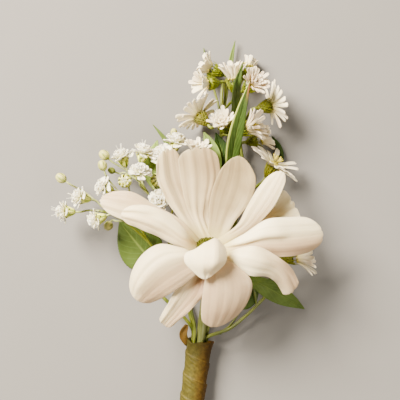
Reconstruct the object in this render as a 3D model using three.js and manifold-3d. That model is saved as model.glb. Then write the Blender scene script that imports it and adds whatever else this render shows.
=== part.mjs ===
// A boutonniere lying on its back: one white daisy chrysanthemum with drooping front petals, a
// fan of small white asters above it, a spray of baby's breath on its left, green leaves between
// them, and all their stems bound in floral tape as a handle.
// Millimetres. +Y runs from the handle to the asters and +Z up from the surface it lies on.
// Every place below is measured from the middle of the daisy's disc, and the whole is moved at
// the end so that the origin is under the middle of the object, on the surface.

import * as THREE from "three";
import { mergeVertices } from "three/addons/utils/BufferGeometryUtils.js";
import Module from "manifold-3d";

const wasm = await Module();
wasm.setup();

// Driving dimensions
const DISC_ABOVE_SURFACE = 18; // the daisy's disc, above what the boutonniere lies on
const DISC_FROM_MIDDLE = [6.45, 4.1]; // the disc's x and y, from the middle of the whole
const BLADE = 0.6; // thickness of petals, rays and leaves
const GAP = 0.3; // between one piece and the piece that it sits on
const DAISY_TILT = 48; // degrees that the daisy faces up the arrangement, away from the vertical
const DISC_RADIUS = 4.2;
const DISC_HEIGHT = 2.1;
const TAPE_RADIUS = 3.65;
const TAPE_WALL = 0.75;
const TAPE_MOUTH = [-2.9, -28.4]; // x and y of the handle's upper end
const TAPE_LENGTH = 37.4;
const TAPE_LEAN = 7.1; // degrees that the handle leans to the left
const TAPE_FLAT = 3.4; // the handle's axis above the surface: its underside is pressed flat there
const CUT_ENDS = 2.4; // how far the stems stand out of the tape's lower end
const DAISY_STEM = 1.15; // radius
const THIN_STEM = 0.6; // radius of the other stems in the bundle
const EYE = [-2.8, 12.9, 300]; // the petals' outlines are given as they are seen from here

const radians = THREE.MathUtils.degToRad;
const point = ([x, y, z]) => new THREE.Vector3(x, y, z);
const smooth = (points) => new THREE.CatmullRomCurve3(points, false, "catmullrom", 0.5);
const UP = new THREE.Vector3(0, 0, 1);

// A draw between -1 and 1 that is the same each time for the same number
function draw(seed) {
  const x = Math.sin(seed * 127.1) * 43758.5453;
  return 2 * (x - Math.floor(x)) - 1;
}

// Solids

function solidOf(geometry) {
  const bare = geometry.clone();
  bare.deleteAttribute("normal");
  bare.deleteAttribute("uv");
  const merged = mergeVertices(bare, 1e-4);
  return new wasm.Manifold(
    new wasm.Mesh({
      numProp: 3,
      vertProperties: new Float32Array(merged.attributes.position.array),
      triVerts: new Uint32Array(merged.index.array),
    }),
  );
}

function geometryOf(solid) {
  const mesh = solid.getMesh();
  const geometry = new THREE.BufferGeometry();
  geometry.setAttribute("position", new THREE.BufferAttribute(mesh.vertProperties, 3));
  geometry.setIndex(new THREE.BufferAttribute(mesh.triVerts, 1));
  geometry.computeVertexNormals();
  return geometry;
}

const fuse = (solids) => solids.reduce((whole, next) => whole.add(next));

function closedGeometry(points, triangles) {
  const geometry = new THREE.BufferGeometry();
  const flat = points.flatMap((p) => [p.x, p.y, p.z]);
  geometry.setAttribute("position", new THREE.Float32BufferAttribute(flat, 3));
  geometry.setIndex(triangles);
  return geometry;
}

// A thin closed blade on surface(u, v), with u from 0 at its root to 1 at its tip and v from -1
// to 1 across it. Both faces are split into triangles alike.
function bladeSolid(surface, rows, columns) {
  const step = 1e-3;
  const faces = [[], []];
  for (let i = 0; i <= rows; i++)
    for (let j = 0; j <= columns; j++) {
      const u = Math.sin((Math.PI / 2) * (i / rows)); // rows stand closer towards the tip
      const v = -1 + (2 * j) / columns;
      const along = surface(Math.min(u + step, 1), v).sub(surface(Math.max(u - step, 0), v));
      const across = surface(u, v + step).sub(surface(u, v - step));
      const half = along.cross(across).normalize().multiplyScalar(BLADE / 2);
      const middle = surface(u, v);
      faces[0].push(middle.clone().add(half));
      faces[1].push(middle.clone().sub(half));
    }
  const count = faces[0].length;
  const at = (i, j) => i * (columns + 1) + j;
  const triangles = [];
  const quad = (a, b, c, d) => triangles.push(a, b, c, a, c, d);
  for (let i = 0; i < rows; i++)
    for (let j = 0; j < columns; j++) {
      const [a, b, c, d] = [at(i, j), at(i + 1, j), at(i + 1, j + 1), at(i, j + 1)];
      quad(a, b, c, d);
      triangles.push(count + a, count + c, count + b, count + a, count + d, count + c);
    }
  const rim = [];
  for (let i = 0; i < rows; i++) rim.push(at(i, 0));
  for (let j = 0; j < columns; j++) rim.push(at(rows, j));
  for (let i = rows; i > 0; i--) rim.push(at(i, columns));
  for (let j = columns; j > 0; j--) rim.push(at(0, j));
  rim.forEach((a, k) => {
    const b = rim[(k + 1) % rim.length];
    quad(a, count + a, count + b, b);
  });
  return solidOf(closedGeometry([...faces[0], ...faces[1]], triangles));
}

// Triangles of a closed tube of rings, and of the flat ends that close it
function tubeTriangles(sides, steps) {
  const triangles = [];
  for (let i = 0; i < steps; i++)
    for (let k = 0; k < sides; k++) {
      const [a, b] = [i * sides + k, i * sides + ((k + 1) % sides)];
      triangles.push(a, b, b + sides, a, b + sides, a + sides);
    }
  const last = steps * sides;
  for (let k = 1; k < sides - 1; k++) {
    triangles.push(0, k + 1, k);
    triangles.push(last, last + k, last + k + 1);
  }
  return triangles;
}

// A closed round rod along a curve, with radius(u) at each step
function rodSolid(curve, radius, sides, steps) {
  const frames = curve.computeFrenetFrames(steps, false);
  const points = [];
  for (let i = 0; i <= steps; i++) {
    const centre = curve.getPointAt(i / steps);
    for (let k = 0; k < sides; k++) {
      const turn = (2 * Math.PI * k) / sides;
      const r = radius(i / steps);
      points.push(
        centre
          .clone()
          .addScaledVector(frames.normals[i], r * Math.cos(turn))
          .addScaledVector(frames.binormals[i], r * Math.sin(turn)),
      );
    }
  }
  return solidOf(closedGeometry(points, tubeTriangles(sides, steps)));
}

const stemSolid = (points, from, to, steps, sides = 5) =>
  rodSolid(smooth(points), (u) => from + (to - from) * u, sides, steps);

// A turned surface from a profile of [radius, height] pairs, round the Y axis
const lathe = (profile, sides) =>
  new THREE.LatheGeometry(profile.map(([r, h]) => new THREE.Vector2(r, h)), sides);

// A turned solid round the Z axis, from a profile that starts and ends on the axis
const turned = (profile, sides) => solidOf(lathe(profile, sides).rotateX(Math.PI / 2));

// A turned solid whose outline waves in and out round it, as overlapping scales do. Each pair
// of the profile may be followed by the depth of its waves.
function scaly(profile, lobes) {
  const geometry = lathe(profile, 2 * lobes);
  const place = geometry.attributes.position;
  for (let i = 0; i < place.count; i++) {
    const [r, , wave = 0] = profile[i % profile.length];
    const turn = Math.atan2(place.getX(i), place.getZ(i));
    const scale = r > 0 ? 1 + (wave / r) * Math.cos(lobes * turn) : 1;
    place.setX(i, place.getX(i) * scale);
    place.setZ(i, place.getZ(i) * scale);
    if (wave) place.setY(i, place.getY(i) + 0.6 * wave * Math.cos(lobes * turn));
  }
  return solidOf(geometry.rotateX(Math.PI / 2));
}

// Moves a solid made round +Z to a head's place, turned to face its way
function placed(solid, at, face) {
  const turn = new THREE.Quaternion().setFromUnitVectors(UP, point(face).normalize());
  const matrix = new THREE.Matrix4().compose(point(at), turn, new THREE.Vector3(1, 1, 1));
  return solid.transform(matrix.elements);
}

// The middle surface of a leaf: a path, the way it faces at its root and tip, its width, its
// outline, and how far its edges lift, as a share of the half width
function bladeSurface({ path, faces, width, outline, lift }) {
  const curve = smooth(path);
  return (u, v) => {
    const along = curve.getTangent(u);
    const facing = faces[0].clone().lerp(faces[1], u);
    const across = facing.cross(along).normalize();
    const normal = along.clone().cross(across);
    const half = (width / 2) * outline(u);
    const rise = lift * half * Math.abs(v);
    return curve.getPoint(u).addScaledVector(across, half * v).addScaledVector(normal, rise);
  };
}

// Rays that stand round a round plate, as one closed mesh. Each ray is given by its turn, and
// by the middle and half width of each of its rows outside the plate.
function rosetteSolid({ radius, bottom, top }, rays, rootHalf) {
  const points = [new THREE.Vector3(0, 0, top), new THREE.Vector3(0, 0, bottom)];
  const triangles = [];
  const quad = (a, b, c, d) => triangles.push(a, b, c, a, c, d);
  const size = 4 * (rays[0].rows.length + 1);
  rays.forEach(({ turn, rows }, k) => {
    const side = new THREE.Vector3(-Math.sin(turn), Math.cos(turn), 0);
    const out = new THREE.Vector3(Math.cos(turn), Math.sin(turn), 0);
    for (const height of [top, bottom])
      for (const way of [-1, 1])
        points.push(out.clone().multiplyScalar(radius).addScaledVector(side, way * rootHalf).setZ(height));
    rows.forEach(({ middle, half }, i) => {
      const before = i > 0 ? rows[i - 1].middle : new THREE.Vector2(radius, (top + bottom) / 2);
      const along = middle.clone().sub(before).normalize();
      for (const way of [1, -1])
        for (const across of [-1, 1]) {
          const r = middle.x - (way * along.y * BLADE) / 2;
          const h = middle.y + (way * along.x * BLADE) / 2;
          points.push(out.clone().multiplyScalar(r).addScaledVector(side, across * half).setZ(h));
        }
    });
    const at = (i) => Array.from({ length: 4 }, (_, n) => 2 + k * size + 4 * i + n);
    const next = 2 + ((k + 1) % rays.length) * size;
    const [A, B, a, b] = at(0);
    triangles.push(0, A, B, 0, B, next, 1, b, a, 1, next + 2, b);
    quad(b, next + 2, next, B);
    for (let i = 0; i < rows.length; i++) {
      const [A0, B0, a0, b0] = at(i);
      const [A1, B1, a1, b1] = at(i + 1);
      quad(A0, A1, B1, B0);
      quad(a0, b0, b1, a1);
      quad(a0, a1, A1, A0);
      quad(b1, b0, B0, B1);
    }
    const tip = at(rows.length);
    quad(tip[2], tip[3], tip[1], tip[0]);
  });
  return solidOf(closedGeometry(points, triangles));
}

// The daisy

const tilt = radians(DAISY_TILT);
const DAISY = {
  right: new THREE.Vector3(1, 0, 0),
  back: new THREE.Vector3(0, Math.cos(tilt), -Math.sin(tilt)),
  axis: new THREE.Vector3(0, Math.sin(tilt), Math.cos(tilt)),
};
const RING = { inner: 2.7, outer: 5.2, top: -0.5, bottom: -1.4 }; // joins the petals at their roots
const ROOT_RADIUS = 5;

// A petal's root is given by its angle round the disc: 0 is right, 90 up the arrangement. claw
// is half its width there. left and right are its edges as one looks out along it, and end at
// the corners of its tip, which is rounded over the share `blunt` of its length. Each x and y is
// as the eye sees it level with the disc, followed by the height. arch is how far the middle
// stands above the edges, as a share of the half width. crest is its tallest fold: where it lies
// across, how tall it is, how wide on its left and right, and where along it starts and ends.
const PETALS = [
  { root: 65, claw: 2.3, blunt: 0.26, arch: -0.12,
    left: [[-0.4, 7.6, -3.8], [0.2, 14.2, -3.2], [2.2, 20, -2.2], [4.2, 25.2, -1]],
    right: [[7, 6.8, -3.4], [11.2, 12.2, -2.6], [12.9, 18.2, -1.6], [11.6, 25.2, -0.6]] },
  { root: 93, claw: 2.5, blunt: 0.11, arch: -0.1,
    left: [[-5.4, 7.8, -4.9], [-7.2, 13.2, -4.3], [-8.4, 19.6, -3.4], [-9.2, 27, -2.2]],
    right: [[-0.2, 7.8, -5], [1.2, 13.2, -4.4], [3, 19.8, -3.6], [1.6, 28.4, -2.4]] },
  { root: 120, claw: 1.7, blunt: 0.14, arch: -0.08,
    left: [[-9.2, 8.4, -3.4], [-12.4, 13.2, -2.9], [-14.8, 19, -2.2], [-15.2, 26.6, -1.8]],
    right: [[-3.6, 8, -5.6], [-5, 13.4, -5.6], [-7, 19.4, -5], [-8.6, 28.2, -4.2]] },
  { root: 38, claw: 1.5, blunt: 0.13, arch: 0.12,
    left: [[7.5, 5.9, -0.9], [10.2, 10.9, -0.2], [13.4, 16.2, 0.4], [17.6, 21.4, 0.6]],
    right: [[11.4, 4.6, 0.4], [15.6, 8.2, 1.9], [19.1, 13, 2.7], [22.4, 20.6, 2.4]] },
  { root: 14, claw: 1.5, blunt: 0.05, arch: -0.1,
    left: [[8.8, 3.8, -2.6], [13, 8.2, -2.2], [17.4, 12.6, -1.8], [21.2, 16.4, -1.6]],
    right: [[9.6, 1.2, -2.8], [15.2, 2.8, -2.8], [20.6, 4.6, -2.6], [26.2, 7.6, -2.8]] },
  { root: 350, claw: 1.6, blunt: 0.16, arch: 0.14, crest: [-0.15, 1.1, 0.7, 0.1, 0.1, 0.68],
    left: [[9.2, 3.2, 1.7], [15.8, 7.5, 3.7], [22.6, 8.1, 4], [31, 8.2, 2.8]],
    right: [[9.8, -2.4, 2.6], [15.6, -3, 2.4], [23, -2.8, 1.4], [32, -1, -0.6]] },
  { root: 322, claw: 1.7, blunt: 0.04, arch: 0.22, crest: [-0.1, 0.8, 0.5, 0.5, 0.2, 0.56],
    left: [[8, -0.6, 4.6], [13, 0, 6.8], [17.8, -2.2, 6.2], [22.6, -5.9, 4.2], [25.2, -10.8, 2]],
    right: [[6.4, -6.2, 5.2], [11, -8.2, 5.8], [16, -8.7, 5], [18.4, -10.2, 3], [20.8, -14.2, 0.8]] },
  { root: 292, claw: 1.8, blunt: 0.13, arch: 0.16,
    left: [[6.4, -4.6, 6.4], [11.6, -9.6, 6.4], [10.6, -15.6, 4.4], [5.6, -21.8, 0.8]],
    right: [[-0.8, -6.4, 6.2], [-1.9, -12, 6.2], [-2.5, -17.8, 4.4], [-2.2, -22.8, 1.6]] },
  { root: 266, claw: 1.6, blunt: 0.05, arch: 0.12, crest: [-0.45, 2.8, 0.45, 0.8, 0.32, 0.8],
    left: [[3.2, -2.2, 6.2], [4.5, -1.3, 9.2], [4.3, -4.8, 10.4], [-0.5, -9.3, 9.6]],
    right: [[-3.4, -2.6, 6.2], [-6.6, -1.8, 9], [-7, -4.8, 9.8], [-2.5, -9.3, 9.4]] },
  { root: 243, claw: 1.5, blunt: 0.05, arch: -0.12,
    left: [[-0.8, -8.8, 1.6], [-1.6, -13.6, 2], [-5.6, -18, 1.2], [-11.6, -23.6, -0.6]],
    right: [[-6.2, -8.4, 2], [-9.8, -12.4, 2.6], [-12, -16.4, 2], [-14.6, -20.8, 0.2]] },
  { root: 215, claw: 1.8, blunt: 0.09, arch: 0.18, crest: [0.2, 1.4, 0.1, 0.55, 0.15, 0.86],
    left: [[-3.2, -7, 4.4], [-6.4, -10.2, 4.6], [-10.6, -13, 4.2], [-14.6, -15.2, 2.8], [-18.4, -16.5, 0.8]],
    right: [[-8.2, -0.4, 3.8], [-14, 0.6, 5.2], [-18.8, -2.1, 5.4], [-22, -7.3, 4.2], [-22.9, -13.1, 1.8]] },
  { root: 184, claw: 1.6, blunt: 0.13, arch: 0.16,
    left: [[-8.4, -0.4, 3], [-15, 2.8, 4.4], [-20.4, 5.1, 5], [-25.2, 7.2, 4.4]],
    right: [[-6.8, 4.4, 3.2], [-11.8, 9.2, 5.2], [-18.2, 11.5, 6], [-24.4, 11.2, 5.2]] },
  { root: 152, claw: 1.5, blunt: 0.13, arch: 0.1,
    left: [[-9.4, 4, -0.8], [-16.6, 6, 0.2], [-24, 7.2, 0.6], [-31.2, 10.4, -0.4]],
    right: [[-8, 7.2, -1.4], [-14.6, 11, -0.6], [-22, 15.2, 0], [-30.4, 15.2, -0.8]] },
];

// The petal's root on the ring, in two layers that take turns
function petalRoot(angle, layer) {
  const turn = radians(angle);
  return new THREE.Vector3()
    .addScaledVector(DAISY.right, ROOT_RADIUS * Math.cos(turn))
    .addScaledVector(DAISY.back, ROOT_RADIUS * Math.sin(turn))
    .addScaledVector(DAISY.axis, RING.bottom + 0.3 + 0.35 * layer);
}

// A point that is given as the eye sees it level with the disc, at its own height
function inSight([x, y, z]) {
  const nearer = 1 - z / EYE[2];
  return new THREE.Vector3(EYE[0] + (x - EYE[0]) * nearer, EYE[1] + (y - EYE[1]) * nearer, z);
}

function crestHeight([at, tall, leftWide, rightWide, start, stop], u, v) {
  const { smoothstep } = THREE.MathUtils;
  const inside = smoothstep(u, start - 0.12, start + 0.12) * (1 - smoothstep(u, stop - 0.1, stop + 0.1));
  return tall * inside * Math.exp(-(((v - at) / (v < at ? leftWide : rightWide)) ** 2));
}

function petalSurface({ root, claw, blunt, arch, crest, left, right }, layer) {
  const turn = radians(root);
  const side = new THREE.Vector3()
    .addScaledVector(DAISY.back, claw * Math.cos(turn))
    .addScaledVector(DAISY.right, -claw * Math.sin(turn));
  const base = petalRoot(root, layer);
  const leftEdge = smooth([base.clone().add(side), ...left.map(inSight)]);
  const rightEdge = smooth([base.clone().sub(side), ...right.map(inSight)]);
  return (u, v) => {
    const corner = Math.sqrt(Math.max(1 - v * v, 0));
    const reach = u * (1 - blunt * (1 - corner) * u ** 2);
    const across = rightEdge.getPoint(reach).sub(leftEdge.getPoint(reach));
    const along = leftEdge.getTangent(reach).add(rightEdge.getTangent(reach));
    const normal = across.clone().cross(along).normalize();
    const rise = (arch * across.length() * (1 - v * v)) / 2 + (crest ? crestHeight(crest, u, v) : 0);
    return leftEdge.getPoint(reach).addScaledVector(across, (v + 1) / 2).addScaledVector(normal, rise);
  };
}

function daisyPetals() {
  const { inner, outer, top, bottom } = RING;
  const ring = turned([[inner, bottom], [outer, bottom], [outer, top], [inner, top], [inner, bottom]], 13);
  const petals = PETALS.map((petal, k) => bladeSolid(petalSurface(petal, k % 2), 6, 3));
  return fuse([placed(ring, [0, 0, 0], DAISY.axis.toArray()), ...petals]);
}

// The domed disc. Its florets stand in rings, turn about with the hollows between them.
function daisyDisc() {
  const rings = 6;
  const base = RING.top + GAP;
  const profile = [[0, base], [DISC_RADIUS, base]];
  for (let i = 0; i <= rings; i++) {
    const turn = (Math.PI / 2) * (i / (rings + 1));
    profile.push([DISC_RADIUS * Math.cos(turn), base + 0.3 + (DISC_HEIGHT - 0.3) * Math.sin(turn)]);
  }
  profile.push([0, base + DISC_HEIGHT - 0.3]);
  const geometry = lathe(profile, 20);
  const place = geometry.attributes.position;
  for (let i = 0; i < place.count; i++) {
    const ring = i % profile.length;
    if (ring < 2 || ring > rings + 2) continue;
    const turn = Math.atan2(place.getX(i), place.getZ(i));
    const bump = 0.2 * Math.cos(10 * turn + Math.PI * ring);
    const scale = 1 + bump / profile[2][0];
    place.setXYZ(i, place.getX(i) * scale, place.getY(i) + bump, place.getZ(i) * scale);
  }
  return placed(solidOf(geometry.rotateX(Math.PI / 2)), [0, 0, 0], DAISY.axis.toArray());
}

// The bundle in the tape

const handleZ = -DISC_ABOVE_SURFACE + TAPE_FLAT;
const lean = radians(TAPE_LEAN);
const HANDLE = {
  down: new THREE.Vector3(-Math.sin(lean), -Math.cos(lean), 0),
  side: new THREE.Vector3(Math.cos(lean), -Math.sin(lean), 0),
  mouth: new THREE.Vector3(TAPE_MOUTH[0], TAPE_MOUTH[1], handleZ),
};

// A point of the handle: how far below its mouth, and how far from its axis at which angle,
// with 0 on its right and 90 on its upper side
function inHandle(below, radius, angle) {
  const turn = radians(angle);
  return HANDLE.mouth
    .clone()
    .addScaledVector(HANDLE.down, below)
    .addScaledVector(HANDLE.side, radius * Math.cos(turn))
    .addScaledVector(UP, radius * Math.sin(turn));
}

// In the tape the daisy's stem lies near the upper side and the thin stems round it and below
const BUNDLE_RADIUS = 2.15;
const DAISY_SLOT = { angle: 75, radius: 1.25 };
const SLOTS = {
  low_aster: 11,
  baby_breath: 137,
  broad_leaf: 176,
  side_leaf: 215,
  left_asters: 255,
  right_asters: 294,
  leaf_sprig: 334,
};
const bundled = (angle, radius = BUNDLE_RADIUS) =>
  [TAPE_LENGTH + CUT_ENDS, TAPE_LENGTH / 2, 1].map((below) => inHandle(below, radius, angle));

function daisyStem() {
  const under = (depth) => new THREE.Vector3().addScaledVector(DAISY.axis, -depth);
  const free = [point([-2.2, -25, -13.4]), point([-1.9, -21.4, -12.6]), point([-1.2, -16, -11])];
  const path = [...bundled(DAISY_SLOT.angle, DAISY_SLOT.radius), ...free, under(9.4), under(6.4), under(3.4)];
  const stem = rodSolid(smooth(path), () => DAISY_STEM, 7, 15);
  const calyxTop = RING.bottom - GAP;
  const calyx = scaly(
    [[0, calyxTop - 3.6], [1.3, calyxTop - 3.5], [2.6, calyxTop - 2.6, 0.2], [3.4, calyxTop - 1.7, -0.2],
      [4.3, calyxTop - 0.4, 0.2], [3.7, calyxTop],
      [RING.inner - GAP, calyxTop], [RING.inner - GAP, RING.top], [0, RING.top]],
    9,
  );
  return fuse([stem, placed(calyx, [0, 0, 0], DAISY.axis.toArray())]);
}

// The tape is wound on a slope, so its edge climbs round the handle as a low ridge
const TAPE_PITCH = 6.2;
const TAPE_RIDGE = 0.32;
function tapeWrap() {
  const sides = 14;
  const steps = 18;
  const points = [];
  for (let i = 0; i <= steps; i++)
    for (let k = 0; k < sides; k++) {
      const below = (TAPE_LENGTH * i) / steps;
      const turn = (2 * Math.PI * k) / sides;
      const climb = below / TAPE_PITCH + k / sides;
      const ridge = TAPE_RIDGE * (1 - (climb - Math.floor(climb))) ** 2;
      const flare = 0.45 * Math.exp(-below / 2.2);
      const r = TAPE_RADIUS - 0.15 + ridge + flare;
      const spot = inHandle(below, r, (turn * 180) / Math.PI);
      spot.z = Math.max(spot.z, -DISC_ABOVE_SURFACE);
      points.push(spot);
    }
  const outside = solidOf(closedGeometry(points, tubeTriangles(sides, steps)));
  const axis = new THREE.LineCurve3(inHandle(-6, 0, 0), inHandle(TAPE_LENGTH + 1, 0, 0));
  const bore = rodSolid(axis, () => TAPE_RADIUS - TAPE_WALL, 14, 1);
  const flap = bladeSurface({
    path: [
      inHandle(1.6, TAPE_RADIUS - 0.2, 165),
      inHandle(-1.2, TAPE_RADIUS + 1.4, 165),
      inHandle(-4.4, TAPE_RADIUS + 1, 160),
    ],
    faces: [point([-0.3, 0, 1]), point([-0.2, 0, 1])],
    width: 2.6,
    outline: (u) => Math.sin(Math.PI * (0.18 + 0.7 * u)),
    lift: 0.1,
  });
  return fuse([outside.subtract(bore), bladeSolid(flap, 3, 2)]);
}

// Leaves

// An outline that swells to its widest at the share `peak` of its length and ends in a point
const leafOutline = (peak) => (u) => {
  const rise = peak / (1 - peak);
  return Math.max(0.1, (u / peak) ** rise * ((1 - u) / (1 - peak)) || 0.1);
};

function leafSolid({ path, face, width, peak = 0.42, fold = 0.25, rows = 7 }) {
  const surface = bladeSurface({
    path: path.map(point),
    faces: [point(face), point(face)],
    width,
    outline: leafOutline(peak),
    lift: fold,
  });
  return bladeSolid(surface, rows, 2);
}

const LEAVES = {
  lance: {
    path: [[5.8, 17.6, -11.2], [6.5, 25, -7.8], [7.6, 32, -1.8], [9.1, 38.6, 2], [11.1, 46, 3.6]],
    face: [-0.25, 0, 1], width: 4.4, fold: 0.35,
  },
  short_lance: {
    path: [[6.3, 32.6, -11.4], [7, 38, -9], [7.2, 42, -3.2], [7.6, 46, 1.8], [9.3, 51.4, 2.4]],
    face: [0.4, 0, 1], width: 3.3, fold: 0.35, rows: 6,
  },
  top: {
    path: [[5.8, 49, -15.6], [6.4, 54.4, -16], [7.6, 60, -16.2]],
    face: [0.3, 0, 1], width: 1.5, rows: 4,
  },
  top_left: {
    path: [[1.4, 45.4, -16], [-0.8, 52, -17], [-1.7, 58, -17.1]],
    face: [0.2, 0, 1], width: 1.3, rows: 4,
  },
  pale: {
    path: [[3.4, 21, -12.4], [1, 27, -12.4], [-1.7, 32.8, -13]],
    face: [-0.1, 0.1, 1], width: 4, peak: 0.5, rows: 5,
  },
  dark: {
    path: [[4.4, 21, -13.8], [3.6, 27, -13.2], [1.8, 32.6, -13]],
    face: [0.1, 0, 1], width: 4.6, peak: 0.45, rows: 5,
  },
  hooked: {
    path: [[17.5, 19, -15.4], [20.6, 24, -16], [20.4, 28.5, -16], [18.2, 32, -16.3]],
    face: [0, 0.1, 1], width: 2.2, rows: 6,
  },
  low: {
    path: [[10, -9.4, -9.4], [15.4, -11.6, -9], [21.4, -15.2, -12.4], [28.2, -19.4, -17.2]],
    face: [-0.15, -0.35, 1], width: 6.4, peak: 0.5, fold: 0.2,
  },
  low_dark: {
    path: [[9.2, -19.2, -14.4], [12, -15.6, -13.9], [14.4, -11.8, -13.4]],
    face: [0.1, 0.2, 1], width: 4.2, rows: 5,
  },
  broad: {
    path: [[-16.2, -5.8, -13.8], [-19.8, -1.6, -13.6], [-23.4, 2.8, -13.6], [-26.5, 6.7, -14]],
    face: [-0.1, 0.05, 1], width: 13.2, peak: 0.32, fold: 0.12,
  },
  side: {
    path: [[-15.2, 15, -13.4], [-16.4, 20.6, -13], [-16.4, 25, -12.6], [-15.2, 30.4, -12.2]],
    face: [-0.2, 0, 1], width: 6, peak: 0.45, rows: 6,
  },
  side_narrow: {
    path: [[-12.2, 25, -14.4], [-12.8, 30, -14.4], [-16.6, 35, -14]],
    face: [0.2, 0, 1], width: 1.5, rows: 4,
  },
};

// The asters

const ASTER = {
  plate: { radius: 1.9, bottom: GAP, top: GAP + BLADE },
  disc: 1.5,
  cup: 3.4, // depth of the green cup
};

// at is the top of the green cup, face the way it looks, reach the length of a ray from the
// middle, lift how far the rays rise from flat in degrees, and via the way its stalk takes from
// the spray's stem
const ASTERS = {
  left_asters: [
    { at: [1, 50.8, -11.6], face: [-0.88, 0.45, 0.1], reach: 5.4, lift: 50, rays: 11,
      via: [[3.4, 38, -13.6], [3.8, 46, -14]] },
    { at: [-0.2, 45.8, -2.4], face: [-0.85, -0.1, 0.5], reach: 5.4, lift: 50, rays: 11,
      via: [[3.4, 38, -13.6], [4.4, 42.6, -8]] },
    { at: [-2.6, 36.8, -10], face: [-0.6, 0.62, -0.45], reach: 6.8, lift: 15, rays: 12,
      via: [[3.4, 35, -14.1], [2.4, 34.8, -10.8]] },
    { at: [7, 46.8, -9], face: [-0.1, 0.97, 0.2], reach: 6.5, lift: 62, rays: 11,
      via: [[3.4, 38, -13.6], [5.8, 41, -12.4]] },
    { at: [4.3, 34.1, -6], face: [-0.3, 0.5, 0.8], reach: 5.4, lift: 60, rays: 12,
      via: [[3.4, 31.6, -14.9], [4.4, 32, -11.6]] },
    { at: [-3.2, 25.4, -8.6], face: [-0.1, 0.95, 0.25], reach: 5.6, lift: 52, rays: 9,
      via: [[3, 16, -16.2], [-0.4, 18.4, -13]] },
  ],
  right_asters: [
    { at: [11.5, 45.4, -4.6], face: [0.55, 0.35, 0.76], reach: 5.6, lift: 45, rays: 12,
      via: [[9.4, 37, -15.2], [9.3, 42, -10]] },
    { at: [11, 51.3, -14.4], face: [0.4, 0.92, 0], reach: 4.2, lift: 80, rays: 7,
      via: [[9.4, 40, -15.4], [8.8, 45.6, -16]] },
    { at: [16.8, 40, -9.5], face: [0.85, 0.2, -0.35], reach: 7.2, lift: 22, rays: 12,
      via: [[9.2, 33, -15.4], [10.8, 36.8, -12]] },
    { at: [10.3, 33.2, -7.3], face: [0.88, 0.28, 0.38], reach: 6.6, lift: 48, rays: 12,
      via: [[9, 26.4, -15.2], [7.8, 29.6, -11.6]] },
    { at: [14, 30.5, -13.5], face: [0.95, 0.25, 0], reach: 5.2, lift: 58, rays: 11,
      via: [[9, 20, -14.6], [9.6, 24.6, -13.8]] },
    { at: [18, 22.2, -8.7], face: [0.5, 0.78, 0.3], reach: 7.6, lift: 12, rays: 13,
      via: [[8.6, 12, -13.8], [12.6, 16, -13]] },
  ],
  low_aster: [
    { at: [24.1, -3.7, -8.6], face: [0.95, 0.1, 0.1], reach: 7.8, lift: 48, rays: 11,
      via: [[16.8, -14.6, -12.6], [18.2, -7, -10.6]] },
  ],
};

// The rows of a ray that rises by `rise` from a plate of the given radius and middle height
function rayRows({ radius, height, length, rise, halves, sag }) {
  return halves.map((half, i) => {
    const share = (i + 1) / halves.length;
    const droop = sag * Math.sin(Math.PI * share);
    const out = radius + length * share * Math.cos(rise);
    return { middle: new THREE.Vector2(out, height + length * share * Math.sin(rise) + droop), half };
  });
}

function asterRays({ reach, lift, rays }, seed) {
  const { radius, bottom, top } = ASTER.plate;
  const blades = Array.from({ length: rays }, (_, k) => ({
    turn: (2 * Math.PI * (k + 0.06 * draw(seed + k))) / rays,
    rows: rayRows({
      radius,
      height: (bottom + top) / 2,
      length: (reach - radius) * (1 + 0.1 * draw(seed + 100 + k)),
      rise: radians(lift + 9 * draw(seed + 50 + k)),
      halves: [0.72, 0.42],
      sag: 0.3,
    }),
  }));
  return rosetteSolid(ASTER.plate, blades, 0.42);
}

// The small domed disc, with every second corner raised as a floret
function asterDisc() {
  const r = ASTER.disc;
  const foot = ASTER.plate.top + GAP;
  const side = [r, foot + 0.5, 0.12];
  const crown = [r * 0.62, foot + 1, -0.12];
  return scaly([[0, foot], [r, foot], side, crown, [0, foot + 1.1]], 4);
}

// The green cup under the rays, with its bracts as waves
function asterCup() {
  const deep = ASTER.cup;
  const foot = [[0, -deep - 0.2], [0.5, -deep]];
  const bracts = [[1.35, -deep * 0.6, 0.14], [1.65, -deep * 0.25, -0.16], [1.95, 0, 0.2]];
  return scaly([...foot, ...bracts, [0, 0]], 4);
}

// The baby's breath

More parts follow.
